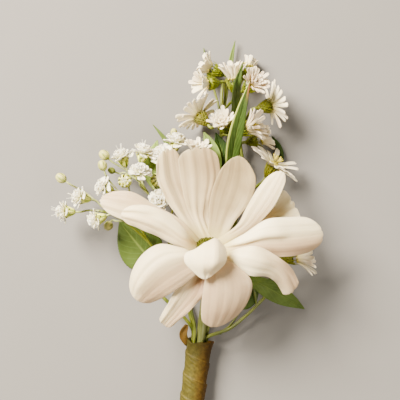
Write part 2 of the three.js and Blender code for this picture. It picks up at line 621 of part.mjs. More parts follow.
const BREATH = { cup: 2.3, cupRadius: 1.05 };
const BREATH_BLOOMS = [
  { at: [-41, 9.5, -8], face: [-1, 0, 0.1],
    via: [[-31.6, 9.8, -8.4], [-35, 9.9, -9.4]] },
  { at: [-36.4, 13.5, -7.4], face: [-0.93, 0.2, 0.3],
    via: [[-28.6, 9, -9], [-31.6, 11.6, -8.8]] },
  { at: [-29.8, 16.3, -8.2], face: [-0.85, 0.3, 0.4],
    via: [[-22, 10.4, -10], [-25, 14, -9.8]] },
  { at: [-31.7, 7.6, -5.2], face: [-0.92, -0.33, 0.15],
    via: [[-24.6, 6.8, -9.2], [-27.2, 8.2, -7.2]] },
  { at: [-25, 24.6, -9.4], face: [-0.35, 0.9, 0.2],
    via: [[-19, 16.4, -11.4], [-22.4, 20.4, -11.4]] },
  { at: [-19.4, 25.7, -8.6], face: [0.2, 0.93, 0.25],
    via: [[-19, 16.4, -11.4], [-20.4, 20.6, -11]] },
  { at: [-20, 20.2, -5], face: [0, 0.75, 0.6],
    via: [[-17.6, 14.4, -11.2], [-19.6, 16.4, -9.8]] },
  { at: [-24.2, 18.2, -8.6], face: [-0.2, 0.2, 0.95],
    via: [[-22, 10.4, -10], [-23.4, 16, -11]] },
  { at: [-15.4, 18.4, -9.2], face: [0.3, 0.3, 0.9],
    via: [[-15.6, 10.4, -11.2], [-15.7, 15, -11.9]] },
  { at: [-10, 28.9, -10.8], face: [0.2, 0.9, 0.3],
    via: [[-10.4, 14, -12.6], [-10.2, 22, -12.4]] },
  { at: [-13.1, 25.2, -8.7], face: [-0.6, 0.4, 0.7],
    via: [[-10.2, 22, -12.4], [-10.6, 23.4, -11.4]] },
  { at: [-14.4, 12.8, -6.4], face: [0, 0.1, 1],
    via: [[-12.4, 5, -11], [-14.2, 10.6, -11.4]] },
];
const BREATH_BUDS = [
  { at: [-42.9, 19.3, -8.4], face: [-0.8, 0.55, 0], size: 1.6,
    via: [[-31.6, 11.6, -8.8], [-36.4, 15.2, -11.8]] },
  { at: [-30.6, 26, -10], face: [-0.75, 0.65, 0.1], size: 1.6,
    via: [[-22.4, 20.4, -11.4], [-26, 22.6, -11]] },
  { at: [-30.9, 23, -8.4], face: [-0.3, 0.9, 0.1], size: 1.5,
    via: [[-25, 14, -9.8], [-28.8, 18, -12.2]] },
  { at: [-28.6, 21.5, -11.4], face: [-0.8, 0.3, 0.4], size: 1.1,
    via: [[-20.4, 18.4, -11.4], [-24.6, 20.8, -12]] },
  { at: [-29.3, 5.4, -9], face: [-0.5, -0.7, 0.2], size: 1.5,
    via: [[-24.6, 6.8, -9.2], [-26.8, 6.8, -9.2]] },
  { at: [-10.4, 32.8, -12.4], face: [0, 0.8, 0.6], size: 1.1,
    via: [[-10.2, 22, -12.4], [-11, 28, -14.8]] },
];

// Two tiers of petals: the outer ones spread flat and the inner ones stand up
function breathBloom(seed) {
  const tiers = [
    { count: 5, lift: 14, length: 2.3, radius: 0.85, bottom: GAP, halves: [1.15, 0.85] },
    { count: 4, lift: 60, length: 1.9, radius: 0.75, bottom: GAP + BLADE - 0.1, halves: [0.9] },
  ];
  return fuse(
    tiers.map(({ count, lift, length, radius, bottom, halves }, tier) => {
      const plate = { radius, bottom, top: bottom + BLADE };
      const petals = Array.from({ length: count }, (_, k) => ({
        turn: (2 * Math.PI * (k + 0.5 * tier + 0.06 * draw(seed + k))) / count,
        rows: rayRows({
          radius,
          height: bottom + BLADE / 2,
          length: length * (1 + 0.12 * draw(seed + 30 + k)),
          rise: radians(lift + 10 * draw(seed + 60 + k)),
          halves,
          sag: -0.2,
        }),
      }));
      return rosetteSolid(plate, petals, 0.4 - 0.06 * tier);
    }),
  );
}

function breathCup() {
  const { cup, cupRadius } = BREATH;
  const wall = [[0.5, -cup], [cupRadius * 0.9, -cup * 0.5], [cupRadius * 1.15, 0]];
  return turned([[0, -cup - 0.2], ...wall, [0, 0]], 6);
}

function breathBud(size) {
  const profile = [[0, -1.2], [0.62, -0.7], [0.86, 0.05], [0.5, 0.8], [0, 1]];
  return turned(profile.map(([r, h]) => [r * size, h * size]), 6);
}

// Stalks run from the spray's stem to the foot of a head
function stalk({ at, face, via }, depth, from, to) {
  const foot = (more) => point(at).addScaledVector(point(face).normalize(), -(depth + more));
  return stemSolid([...via.map(point), foot(1.6), foot(-0.4)], from, to, 3, 4);
}

// Each spray's own stem, from the bundle up behind the daisy
const STEMS = {
  left_asters: [
    [-3, -24.6, -16.5], [-2, -17, -15.4], [0, -4, -15.4], [2.6, 12, -16], [3.6, 26, -16.6],
    [3.4, 31, -15], [3.4, 38, -13.6],
  ],
  right_asters: [
    [-1.5, -24.6, -16.4], [0.8, -17, -15.2], [4.6, -3, -14.2], [8, 8, -14], [9, 20, -14.6],
    [9, 26.4, -15.2], [9.2, 33, -15.4], [9.4, 40, -15.4],
  ],
  low_aster: [
    [-1.4, -27.8, -13.9], [0.2, -26.8, -13.9], [3, -25.9, -13.8], [6.2, -24.5, -13.7], [10.2, -21.3, -13.5],
    [13.8, -17.9, -13.1], [16.8, -14.6, -12.6],
  ],
  baby_breath: [
    [-4.3, -25, -13], [-5, -21, -12.6], [-6.4, -16.4, -11.8], [-11.4, -7.4, -10], [-17.4, 0.4, -9.8],
    [-24.6, 6.8, -9.2], [-28.6, 9, -9], [-31.6, 9.8, -8.4],
  ],
  leaf_sprig: [
    [-0.5, -24.6, -15.2], [1, -18, -13.4], [3, -6, -12.2], [5, 6, -11.4], [5.6, 16, -11.2],
    [6, 24, -11.6], [6.3, 34, -11.4],
  ],
  broad_leaf: [
    [-5.1, -25, -14.4], [-7.6, -21.4, -14.2], [-11.4, -17.8, -14], [-14.8, -14, -13.8],
    [-16.6, -9.4, -13.8], [-16.3, -5.6, -13.8],
  ],
  side_leaf: [
    [-4.6, -25, -15.8], [-5.8, -21, -15.9], [-7.2, -16, -16.1], [-9.4, -8, -16.6], [-12, 3, -16],
    [-13.6, 11, -14.2], [-15.4, 17, -13.3],
  ],
};
// Twigs from a spray's stem to the feet of its leaves
const TWIGS = {
  left_asters: [
    [[3.4, 36, -13.6], [4.8, 42, -15.6], [5.8, 50, -15.7]],
    [[3.4, 34, -13.8], [2.8, 40, -15.6], [1.2, 46, -15.9]],
  ],
  right_asters: [[[9, 16, -14.4], [13, 16.6, -15.2], [17.6, 19.4, -15.4]]],
  low_aster: [
    [[13.8, -17.9, -13.1], [12.8, -13, -11.4], [11, -10, -9.4]],
    [[3, -26.3, -13.8], [6, -23.8, -14.2], [8, -21, -14.3], [9.4, -18.8, -14.4]],
  ],
  leaf_sprig: [
    [[5.4, 12, -11.3], [4.6, 17.6, -12], [3.2, 22, -12.3]],
    [[5.2, 9, -11.3], [5.2, 16, -13], [4.3, 22.4, -13.9]],
  ],
  broad_leaf: [],
  side_leaf: [[[-13.4, 10, -14.4], [-12.6, 18, -15], [-12.2, 26, -14.4]]],
};
// The leaves that each spray carries
const SPRAY_LEAVES = {
  left_asters: ["top", "top_left"],
  right_asters: ["hooked"],
  low_aster: ["low", "low_dark"],
  leaf_sprig: ["lance", "short_lance", "pale", "dark"],
  broad_leaf: ["broad"],
  side_leaf: ["side", "side_narrow"],
};
const BREATH_FORKS = [
  [[-11.4, -7.4, -10], [-12.4, 5, -11], [-15.6, 10.4, -11.4], [-17.6, 14.4, -11.2], [-20.4, 18.4, -11.4]],
  [[-12.4, 5, -11], [-11, 9, -12], [-10.4, 14, -12.6], [-10.2, 22, -12.4]],
  [[-17.4, 0.4, -9.8], [-20, 5, -9.8], [-22, 10.4, -10], [-25, 14, -9.8]],
];

const bundleStem = (name, end, steps) =>
  stemSolid([...bundled(SLOTS[name]), ...STEMS[name].map(point)], THIN_STEM, end, steps);

const foliage = (name) => [
  ...TWIGS[name].map((points) => stemSolid(points.map(point), 0.35, 0.32, 3, 4)),
  ...SPRAY_LEAVES[name].map((leaf) => leafSolid(LEAVES[leaf])),
];

const leafSpray = (name, steps) => fuse([bundleStem(name, 0.45, steps), ...foliage(name)]);

function asterGreens(name) {
  const heads = ASTERS[name];
  return fuse([
    bundleStem(name, 0.42, 12),
    ...foliage(name),
    ...heads.map((head) => stalk(head, ASTER.cup, 0.4, 0.42)),
    ...heads.map((head) => placed(asterCup(), head.at, head.face)),
  ]);
}

function breathGreens() {
  return fuse([
    bundleStem("baby_breath", 0.36, 14),
    ...BREATH_FORKS.map((points) => stemSolid(points.map(point), 0.42, 0.36, 4, 4)),
    ...BREATH_BLOOMS.map((bloom) => stalk(bloom, BREATH.cup, 0.33, 0.33)),
    ...BREATH_BLOOMS.map((bloom) => placed(breathCup(), bloom.at, bloom.face)),
    ...BREATH_BUDS.map((bud) => stalk(bud, bud.size * 1.1, 0.31, 0.31)),
    ...BREATH_BUDS.map((bud) => placed(breathBud(bud.size), bud.at, bud.face)),
  ]);
}

// The whole, with a colour and finish for each kind of surface

const finish = (color, roughness) => new THREE.MeshStandardMaterial({ color, roughness, metalness: 0 });
const FINISH = {
  petal: finish(0xf2e9e0, 0.6),
  floret: finish(0x8d9a1f, 0.75),
  stem: finish(0x8aa03c, 0.6),
  ray: finish(0xf4f2ec, 0.6),
  disc: finish(0xd8c24a, 0.75),
  green: finish(0x6f8f2a, 0.6),
  leaf: finish(0x4c6f22, 0.5),
  breath: finish(0xf7f6ef, 0.65),
  tape: finish(0x8f7d35, 0.7),
};

const flowers = new THREE.Group();
function add(name, solid, material) {
  const mesh = new THREE.Mesh(geometryOf(solid), material);
  mesh.name = name;
  flowers.add(mesh);
}

add("daisy_petals", daisyPetals(), FINISH.petal);
add("daisy_disc", daisyDisc(), FINISH.floret);
add("daisy_stem", daisyStem(), FINISH.stem);
add("tape_wrap", tapeWrap(), FINISH.tape);

Object.values(ASTERS)
  .flat()
  .forEach((head, k) => {
    add(`aster_${k + 1}_rays`, placed(asterRays(head, 7 * (k + 1)), head.at, head.face), FINISH.ray);
    add(`aster_${k + 1}_disc`, placed(asterDisc(), head.at, head.face), FINISH.disc);
  });
for (const name of Object.keys(ASTERS)) add(`${name}_stem`, asterGreens(name), FINISH.green);

BREATH_BLOOMS.forEach((bloom, k) => {
  add(`babys_breath_bloom_${k + 1}`, placed(breathBloom(300 + 40 * k), bloom.at, bloom.face), FINISH.breath);
});
add("babys_breath_stem", breathGreens(), FINISH.green);

add("leaf_sprig", leafSpray("leaf_sprig", 12), FINISH.leaf);
add("broad_leaf", leafSpray("broad_leaf", 8), FINISH.leaf);
add("side_leaf", leafSpray("side_leaf", 11), FINISH.leaf);

flowers.position.set(DISC_FROM_MIDDLE[0], DISC_FROM_MIDDLE[1], DISC_ABOVE_SURFACE);
const boutonniere = new THREE.Group();
boutonniere.add(flowers);

export default boutonniere;
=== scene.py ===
# The looks of a boutonniere lying on its back: a white daisy chrysanthemum, a fan of small white
# asters, baby's breath, leaves, and their stems bound in floral tape.
# Places and sizes below are in millimetres, measured from the middle of the daisy's disc: +X is
# right, +Y runs from the handle to the asters and +Z up from the surface it lies on.

import bpy
import numpy as np
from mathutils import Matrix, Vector


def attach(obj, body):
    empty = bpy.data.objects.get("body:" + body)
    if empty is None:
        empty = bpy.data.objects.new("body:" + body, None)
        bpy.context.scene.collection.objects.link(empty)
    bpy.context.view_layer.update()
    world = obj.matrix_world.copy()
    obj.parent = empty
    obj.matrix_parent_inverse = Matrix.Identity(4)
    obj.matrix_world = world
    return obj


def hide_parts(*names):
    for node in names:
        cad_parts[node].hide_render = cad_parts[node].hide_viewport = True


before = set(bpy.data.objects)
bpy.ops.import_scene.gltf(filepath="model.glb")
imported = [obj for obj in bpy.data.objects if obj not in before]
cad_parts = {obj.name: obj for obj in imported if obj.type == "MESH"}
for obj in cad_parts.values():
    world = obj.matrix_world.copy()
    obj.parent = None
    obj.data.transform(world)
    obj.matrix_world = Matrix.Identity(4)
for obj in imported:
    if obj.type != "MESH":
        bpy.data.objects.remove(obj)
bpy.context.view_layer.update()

# Driving dimensions
MM = 0.001
DISC_AT = np.array([6.45, 4.1, 18.0])  # the middle of the daisy's disc, from the part's origin
SURFACE = -DISC_AT[2]
EYE = np.array([-2.8, 12.9, 300.0])  # the camera looks straight down from here
VIEW_WIDTH = 112.0  # how much the frame shows across, level with the disc
SENSOR = 36.0
FLOOR_WIDTH = 1600.0

DAISY_TILT = 48  # degrees that the daisy faces up the arrangement, away from the vertical
DISC_RADIUS = 3.6
DISC_OFF = (-0.4, -0.2, 0.15)  # how far the open florets sit from the middle
ROOT_RADIUS = 5.0  # how far out a petal starts, if it has no seat of its own
RING_TOP = -0.5  # the ring that joins the petals, by its heights on the daisy's axis
RING_BOTTOM = -1.4
GAP = 0.3  # the air between a flower's disc, petals and cup
DAISY_STEM = 1.15  # radii of the daisy's stem and of the others
THIN_STEM = 0.6
BUNDLE_RADIUS = 2.15  # how far the thin stems lie from the handle's axis
TAPE_RADIUS = 3.65
TAPE_WALL = 0.75
TAPE_MOUTH = (-2.9, -28.4)  # where the handle starts
TAPE_LENGTH = 37.4
TAPE_LEAN = 7.1  # degrees that the handle's lower end leans to the left
TAPE_FLAT = 3.4  # how high the handle's axis lies
TAPE_PITCH = 6.2
TAPE_RIDGE = 0.32
CUT_ENDS = 2.4  # how far the stems stand out below the tape
PLATE_TOP = 0.9  # the top of the plate that joins an aster's rays
ASTER_DISC_RADIUS = 1.5
RAY_ROOT = 1.2  # how far out an aster's rays start
SPINES = 13  # in each ring of an aster's cup
ASTER_CUP = 3.4  # how deep a cup is
BREATH_CUP = 2.3
SIDE_VEINS = 52.0  # how closely a leaf's side veins follow each other
VEIN_SLANT = 0.34

# Blades: how thick, how many rows along and how many columns across
PETAL_BLADE = (0.45, 84, 44)
LEAF_BLADE = (0.4, 64, 24)
RAY_BLADE = (0.28, 14, 8)
FRILL_BLADE = (0.16, 10, 10)
FLAP_BLADE = (0.3, 24, 14)
BRACT_BLADE = (0.25, 10, 6)
SPINE_BLADE = (0.15, 8, 4)
SEPAL_BLADE = (0.16, 8, 6)
BUD_BLADE = (0.12, 8, 6)

MARKS = ("along", "across", "tone", "spot", "tan")  # what the materials read at a mesh's points
GOLDEN_TURN = np.pi * (3 - 5 ** 0.5)


# Small helpers

def unit(vectors):
    return vectors / np.maximum(np.linalg.norm(vectors, axis=-1, keepdims=True), 1e-12)


def smoothstep(low, high, x):
    t = np.clip((x - low) / (high - low), 0, 1)
    return t * t * (3 - 2 * t)


def curve(points, t):
    """Places and directions at the shares t of the smooth curve through the points."""
    points = np.asarray(points, float)
    ends = np.vstack([2 * points[0] - points[1], points, 2 * points[-1] - points[-2]])
    spans = len(points) - 1
    place = np.clip(t, 0, 1) * spans
    k = np.minimum(place.astype(int), spans - 1)
    w = (place - k)[..., None]
    a, b, c, d = (ends[k + n] for n in range(4))
    second = 2 * a - 5 * b + 4 * c - d
    third = -a + 3 * b - 3 * c + d
    spot = 0.5 * (2 * b + (c - a) * w + second * w ** 2 + third * w ** 3)
    way = 0.5 * ((c - a) + 2 * second * w + 3 * third * w ** 2)
    return spot, unit(way)


def placed(name, data):
    """A new object with that data, put into the scene."""
    thing = bpy.data.objects.new(name, data)
    bpy.context.scene.collection.objects.link(thing)
    return thing


def around(radius, turn, height):
    return np.array([radius * np.cos(turn), radius * np.sin(turn), height])


# A head is a flower, cup or disc that looks one way: at is its middle, and face the way it looks.

def turned_to(points, at, face):
    """Points made round +Z, moved to a head's place and turned to face its way."""
    turn = Vector((0, 0, 1)).rotation_difference(Vector(face)).to_matrix()
    return points @ np.array(turn).T + np.asarray(at, float)


def head_point(head, radius, turn, height):
    """A point of a head, by its distance from the axis, its turn and its height."""
    return turned_to(around(radius, turn, height), head["at"], head["face"])


def head_way(head, turn, out, up):
    """A direction of a head at that turn, by how far it goes out from the axis and up."""
    return turned_to(around(out, turn, up), (0, 0, 0), head["face"])


# Meshes

class Shape:
    """Closed bodies gathered into one mesh, with marks at the points for the materials."""

    def __init__(self):
        self.points = []
        self.faces = []
        self.marks = {name: [] for name in MARKS}
        self.count = 0

    def add(self, points, faces, **marks):
        flat = points.reshape(-1, 3)
        self.points.append(flat)
        for group in faces:
            self.faces.extend((group + self.count).tolist())
        self.count += len(flat)
        for name in MARKS:
            value = np.asarray(marks.get(name, 0.0), float).reshape(-1)
            self.marks[name].append(np.broadcast_to(value, len(flat)))

    def make(self, name, material, nodes):
        mesh = bpy.data.meshes.new(name)
        mesh.from_pydata(((np.vstack(self.points) + DISC_AT) * MM).tolist(), [], self.faces)
        for mark, values in self.marks.items():
            attribute = mesh.attributes.new(mark, "FLOAT", "POINT")
            attribute.data.foreach_set("value", np.concatenate(values).astype(np.float32))
        mesh.shade_smooth()
        mesh.materials.append(material)
        piece = placed(name, mesh)
        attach(piece, "root")
        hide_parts(*nodes)


def quads_of(index):
    """The faces between the points of a grid, whose numbers are given."""
    corners = (index[:-1, :-1], index[1:, :-1], index[1:, 1:], index[:-1, 1:])
    return np.stack(corners, axis=-1).reshape(-1, 4)


def cut_corners(quads, columns):
    """A grid's faces, with the four at its corners cut in two from the corner inwards, so that the
    two sides of a blade share only their rim."""
    ends = quads[[0, -1]]
    others = quads[[columns - 1, len(quads) - columns]]
    halves = [ends[:, [0, 1, 2]], ends[:, [0, 2, 3]], others[:, [0, 1, 3]], others[:, [1, 2, 3]]]
    rest = np.delete(quads, [0, columns - 1, len(quads) - columns, len(quads) - 1], axis=0)
    return [rest, np.vstack(halves)]


def add_blade(shape, surface, thickness, rows, columns, spot=0.0, **marks):
    """A thin closed blade on surface(u, v): u runs from root to tip, v from -1 to 1 across. Its
    two faces meet in a thin edge all round. spot is one number, or a function of u and v."""
    u = np.sin(np.linspace(0, 1, rows + 1) * np.pi / 2)[:, None]
    s = np.linspace(-1, 1, columns + 1)[None, :]
    u, v = np.broadcast_arrays(u, 0.5 * s + 0.5 * np.sin(s * np.pi / 2))
    middle = surface(u, v)
    normal = unit(np.cross(np.gradient(middle, axis=0), np.gradient(middle, axis=1)))
    root, tip = np.clip(u / 0.04, 0, 1), 1 - u ** 30
    half = 0.5 * thickness * np.sqrt((1 - v ** 6) * tip * root)[..., None]
    inner = (slice(1, -1), slice(1, -1))
    under = (middle - normal * half)[inner]
    top = np.arange(u.size).reshape(u.shape)
    bottom = top.copy()
    bottom[inner] = u.size + np.arange(under[..., 0].size).reshape(under.shape[:2])
    points = np.vstack([(middle + normal * half).reshape(-1, 3), under.reshape(-1, 3)])

    def both(grid):
        return np.concatenate([grid.ravel(), grid[inner].ravel()])

    spot = both(spot(u, v)) if callable(spot) else spot
    marks = {"along": both(u), "across": both(v), "spot": spot, **marks}
    upper = cut_corners(quads_of(top), columns)
    lower = [group[:, ::-1] for group in cut_corners(quads_of(bottom), columns)]
    shape.add(points, upper + lower, **marks)


def add_rings(shape, rings, **marks):
    """A closed tube through rings of points, with a point in the middle of each flat end."""
    steps, sides = rings.shape[:2]
    index = np.arange(steps * sides).reshape(steps, sides)
    index = np.hstack([index, index[:, :1]])
    ends = np.stack([rings[0].mean(0), rings[-1].mean(0)])
    first, last = steps * sides, steps * sides + 1
    start = np.stack([index[0, 1:], index[0, :-1], np.full(sides, first)], axis=-1)
    stop = np.stack([index[-1, :-1], index[-1, 1:], np.full(sides, last)], axis=-1)
    full = {}
    for name, value in marks.items():
        grid = np.broadcast_to(np.asarray(value, float), (steps, sides))
        full[name] = np.concatenate([grid.ravel(), [grid[0].mean(), grid[-1].mean()]])
    points = np.vstack([rings.reshape(-1, 3), ends])
    shape.add(points, [quads_of(index)[:, ::-1], start, stop], **full)


def rod_rings(points, radius, sides, steps):
    """Rings of a round rod along a smooth curve. radius takes the share of its length."""
    dense, _ = curve(points, np.linspace(0, 1, 40 * len(points)))
    length = np.concatenate([[0], np.cumsum(np.linalg.norm(np.diff(dense, axis=0), axis=1))])
    share = np.linspace(0, 1, steps + 1)
    centres = np.stack([np.interp(share * length[-1], length, dense[:, k]) for k in range(3)], 1)
    ways = unit(np.gradient(centres, axis=0))
    side = unit(np.cross(ways[0], [0.31, 0.17, 0.93]))
    turn = 2 * np.pi * np.arange(sides) / sides
    rings = []
    for centre, way, r in zip(centres, ways, radius(share)):
        side = unit(side - way * (side @ way))
        other = np.cross(way, side)
        spread = np.cos(turn)[:, None] * side + np.sin(turn)[:, None] * other
        rings.append(centre + spread * r[:, None])
    return np.array(rings)


def add_rod(shape, points, start, end, sides=10, steps=24, tone=0.0, ribs=0.05):
    """A stem that narrows from one radius to the other, with fine ribs along it."""
    def radius(share):
        ribbed = 1 + ribs * np.cos(0.5 * sides * 2 * np.pi * np.arange(sides) / sides)
        uneven = 1 + 0.05 * np.sin(share * 17 + 3 * tone) + 0.03 * np.sin(share * 41)
        return (start + (end - start) * share)[:, None] * uneven[:, None] * ribbed

    along = np.linspace(0, 1, steps + 1)[:, None]
    across = np.linspace(-1, 1, sides, endpoint=False)[None, :]
    add_rings(shape, rod_rings(points, radius, sides, steps), along=along, across=across, tone=tone)


def add_turned(shape, profile, sides, head, wave=0.0, lobes=5, tone=0.0):
    """A turned body on a head's axis. profile holds pairs of radius and height that start and end
    near the axis, and wave is how far its outline waves in and out, as a share."""
    profile = np.asarray(profile, float)
    turn = 2 * np.pi * np.arange(sides) / sides
    radius = profile[:, :1] * (1 + wave * np.cos(lobes * turn)[None, :])
    height = np.broadcast_to(profile[:, 1:], radius.shape)
    rings = np.stack([radius * np.cos(turn), radius * np.sin(turn), height], axis=-1)
    along = np.linspace(0, 1, len(profile))[:, None]
    across = (turn / np.pi - 1)[None, :]
    add_rings(shape, turned_to(rings, head["at"], head["face"]), along=along, across=across, tone=tone)


def blade_surface(path, faces, width, outline, bend=(0.3, 0.3), fold=1.0, rise=None, notch=None):
    """The middle surface of a petal or leaf: a path, the way it faces at its root and tip, its
    width and outline, how far its left and right edges bend up, what is raised on it, and how its
    tip is notched."""
    root_face, tip_face = (np.asarray(face, float) for face in faces)
    fine = (np.arange(8) + 0.5) / 8

    def surface(u, v):
        slip = notch(u, v * outline(u)) if notch else 0
        centre, along = curve(path, u + slip)
        facing = root_face + (tip_face - root_face) * u[..., None]
        across = unit(np.cross(facing, along))
        normal = np.cross(along, across)
        half = width / 2 * outline(u)
        angle = np.where(v < 0, bend[0], bend[1])[..., None] * (np.abs(v)[..., None] * fine) ** fold
        out = half * v * np.cos(angle).mean(-1)
        up = half * np.abs(v) * np.sin(angle).mean(-1)
        if rise:
            up = up + rise(u, v)
        return centre + across * out[..., None] + normal * up[..., None]

    return surface


def teeth(depth, places=(-0.24, 0.2), width=0.09, start=0.8):
    """Shallow notches in a rounded tip, as far as it is shortened at each place across."""
    def notch(u, x):
        cut = sum(np.exp(-(((x - place) / width) ** 2)) for place in places)
        return -depth * smoothstep(start, 1, u) * cut
    return notch


def bract_outline(u):
    return np.maximum(0.04, (1 - u ** 3) * (0.55 + 0.45 * np.sin(np.pi * np.minimum(u * 1.4, 1))))


def spine_outline(u):
    return np.maximum(0.06, 1 - u ** 1.6)


def add_bract(shape, head, turn, side, width, outline, blade, lean=(0, 0), bend=-0.5, tone=0.0):
    """A small leaf on the side of a cup. side holds its distances from the axis and heights, and
    lean how far up its root and its tip look."""
    path = [head_point(head, out, turn, up) for out, up in side]
    faces = [head_way(head, turn, 1, up) for up in lean]
    add_blade(shape, blade_surface(path, faces, width, outline, (bend, bend)), *blade, tone=tone)


def add_florets(shape, head, count, radius, base, dome, size):
    """Small tubular florets in a spiral on a dome. Each leans outwards as the dome does."""
    floret = Shape()
    profile = [(0.02, 0), (0.5, 0.1), (0.62, 0.9), (0.85, 1.5), (0.45, 1.35), (0.02, 1.1)]
    add_turned(floret, profile, 6, {"at": (0, 0, 0), "face": (0, 0, 1)}, wave=0.12, lobes=3)
    faces = [np.array([face for face in floret.faces if len(face) == n]) for n in (3, 4)]
    for k in range(count):
        share = np.sqrt((k + 0.5) / count)
        turn = k * GOLDEN_TURN
        spot = around(radius * share, turn, base + dome * np.cos(share * np.pi / 2))
        way = around(np.sin(share * 0.9), turn, np.cos(share * 0.9))
        points = turned_to(floret.points[0] * size * (0.75 + 0.35 * share), spot, way)
        points = turned_to(points, head["at"], head["face"])
        shape.add(points, faces, along=floret.marks["along"][0], tone=1 - share)


# Materials

class Look:
    """A material on the standard shader, with short names for the nodes that it uses."""

    def __init__(self, name, roughness, specular=0.4, subsurface=0.0, depth=1.0, sheen=0.0):
        self.material = bpy.data.materials.new(name)
        self.material.use_nodes = True
        self.tree = self.material.node_tree
        self.shader = self.tree.nodes["Principled BSDF"]
        given = {"Roughness": roughness, "Specular IOR Level": specular,
                 "Subsurface Weight": subsurface, "Subsurface Radius": (1.0, 0.8, 0.6),
                 "Subsurface Scale": depth * MM, "Sheen Weight": sheen}
        for key, value in given.items():
            self.shader.inputs[key].default_value = value

    def node(self, kind, inputs=(), **settings):
        node = self.tree.nodes.new(kind)
        for name, value in settings.items():
            setattr(node, name, value)
        for key, value in dict(inputs).items():
            self.feed(node.inputs[key], value)
        return node

    def feed(self, socket, value):
        if isinstance(value, bpy.types.NodeSocket):
            self.tree.links.new(value, socket)
        elif isinstance(value, tuple) and len(value) == 3 and socket.type == "RGBA":
            socket.default_value = (*value, 1)
        else:
            socket.default_value = value

    def mark(self, name):
        return self.node("ShaderNodeAttribute", attribute_name=name).outputs["Fac"]

    def math(self, operation, *values):
        node = self.node("ShaderNodeMath", operation=operation)
        for socket, value in zip(node.inputs, values):
            self.feed(socket, value)
        return node.outputs[0]

    def times(self, a, b, plus=0.0):
        return self.math("MULTIPLY_ADD", a, b, plus)

    def vector(self, x, y, z=0.0):
        return self.node("ShaderNodeCombineXYZ", {"X": x, "Y": y, "Z": z}).outputs[0]

    def noise(self, vector, scale, detail=3.0, rough=0.5):
        given = {"Vector": vector, "Scale": scale, "Detail": detail, "Roughness": rough}
        return self.node("ShaderNodeTexNoise", given).outputs["Fac"]

    def clouds(self, scale, detail=3.0, rough=0.5):
        """Unevenness that is alike in every direction."""
        place = self.node("ShaderNodeTexCoord").outputs["Object"]
        return self.noise(place, scale, detail, rough)

    def streaks(self, count, scale, detail=3.0, rough=0.5):
        """Unevenness that is count times closer across a blade or stem than along it."""
        across = self.times(self.mark("across"), count)
        place = self.vector(across, self.mark("along"), self.mark("tone"))
        return self.noise(place, scale, detail, rough)

    def step(self, value, low, high, first=0.0, last=1.0):
        given = {"Value": value, "From Min": low, "From Max": high, "To Min": first, "To Max": last}
        node = self.node("ShaderNodeMapRange", given, interpolation_type="SMOOTHSTEP")
        return node.outputs["Result"]

    def mix(self, share, first, second):
        node = self.node("ShaderNodeMix", data_type="RGBA")
        self.feed(node.inputs["Factor"], share)
        self.feed(node.inputs[6], first)
        self.feed(node.inputs[7], second)
        return node.outputs[2]

    def tint(self, first, second, value, low, high, most=1.0):
        """The first colour, which turns into the second as the value goes from low to high."""
        return self.mix(self.step(value, low, high, 0.0, most), first, second)

    def shade(self, color, factor):
        """The colour, darker where the factor is under 1."""
        node = self.node("ShaderNodeVectorMath", operation="SCALE")
        self.feed(node.inputs[0], color)
        self.feed(node.inputs["Scale"], factor)
        return node.outputs[0]

    def finish(self, color, height=None, strength=0.5, distance=0.1):
        self.feed(self.shader.inputs["Base Color"], color)
        if height is not None:
            given = {"Height": height, "Strength": strength, "Distance": distance * MM}
            self.feed(self.shader.inputs["Normal"], self.node("ShaderNodeBump", given).outputs[0])
        return self.material


def petal_look():
    look = Look("petal_white", 0.5, specular=0.25, subsurface=0.4, depth=2.0, sheen=0.05)
    streaks = look.streaks(9.0, 2.2, 4.0, 0.6)
    fine = look.streaks(40.0, 1.6)
    clouds = look.clouds(160.0)
    # The petal turns by its spot towards a dark pink or olive tan: the petals' own peach blush together with
    # painted shade on the petals that lie back, droop or face away from the light.
    blush = look.times(look.mark("spot"), look.step(clouds, 0.2, 0.8, 0.79, 0.9))
    blush_and_shade = look.mix(look.mark("tan"), (0.24, 0.115, 0.064), (0.185, 0.125, 0.05))
    color = look.mix(blush, (0.97, 0.82, 0.51), blush_and_shade)
    color = look.tint(color, look.shade(color, 0.76), streaks, 0.52, 0.72, 0.35)
    color = look.tint(color, (0.40, 0.34, 0.09), look.mark("along"), 0.24, 0.05, 0.6)
    return look.finish(color, look.times(streaks, 0.7, look.times(fine, 0.5)), 0.4, 0.11)


def plain_white_look(name, base, root, shade, thin=0.2):
    """Small white petals and rays, with a tint towards their roots and fine lengthwise lines."""
    look = Look(name, 0.5, specular=0.25, subsurface=thin, depth=0.8, sheen=0.03)
    lines = look.streaks(5.0, 3.0)
    each = look.noise(look.vector(look.mark("tone"), 0.0), 7.0, 1.0)
    color = look.tint(base, shade, lines, 0.45, 0.75, 0.6)
    color = look.tint(color, shade, each, 0.45, 0.7, 0.7)
    color = look.tint(color, root, look.mark("along"), 0.6, 0.0, 0.8)
    color = look.mix(look.mark("spot"), color, (0.78, 0.48, 0.36))
    return look.finish(color, lines, 0.4, 0.06)


def floret_look(name, rim, heart, gap_shade):
    """The disc of a daisy or aster: its florets darken towards their feet, painted shade in the gaps between
    them.
    """
    look = Look(name, 0.6, specular=0.18, subsurface=0.1, depth=0.6)
    color = look.mix(look.mark("tone"), rim, heart)
    color = look.tint(color, gap_shade, look.mark("along"), 0.75, 0.1)
    grain = look.clouds(2600.0, 2.0)
    return look.finish(look.shade(color, look.step(grain, 0.3, 0.7, 0.8, 1.12)), grain, 0.4, 0.05)


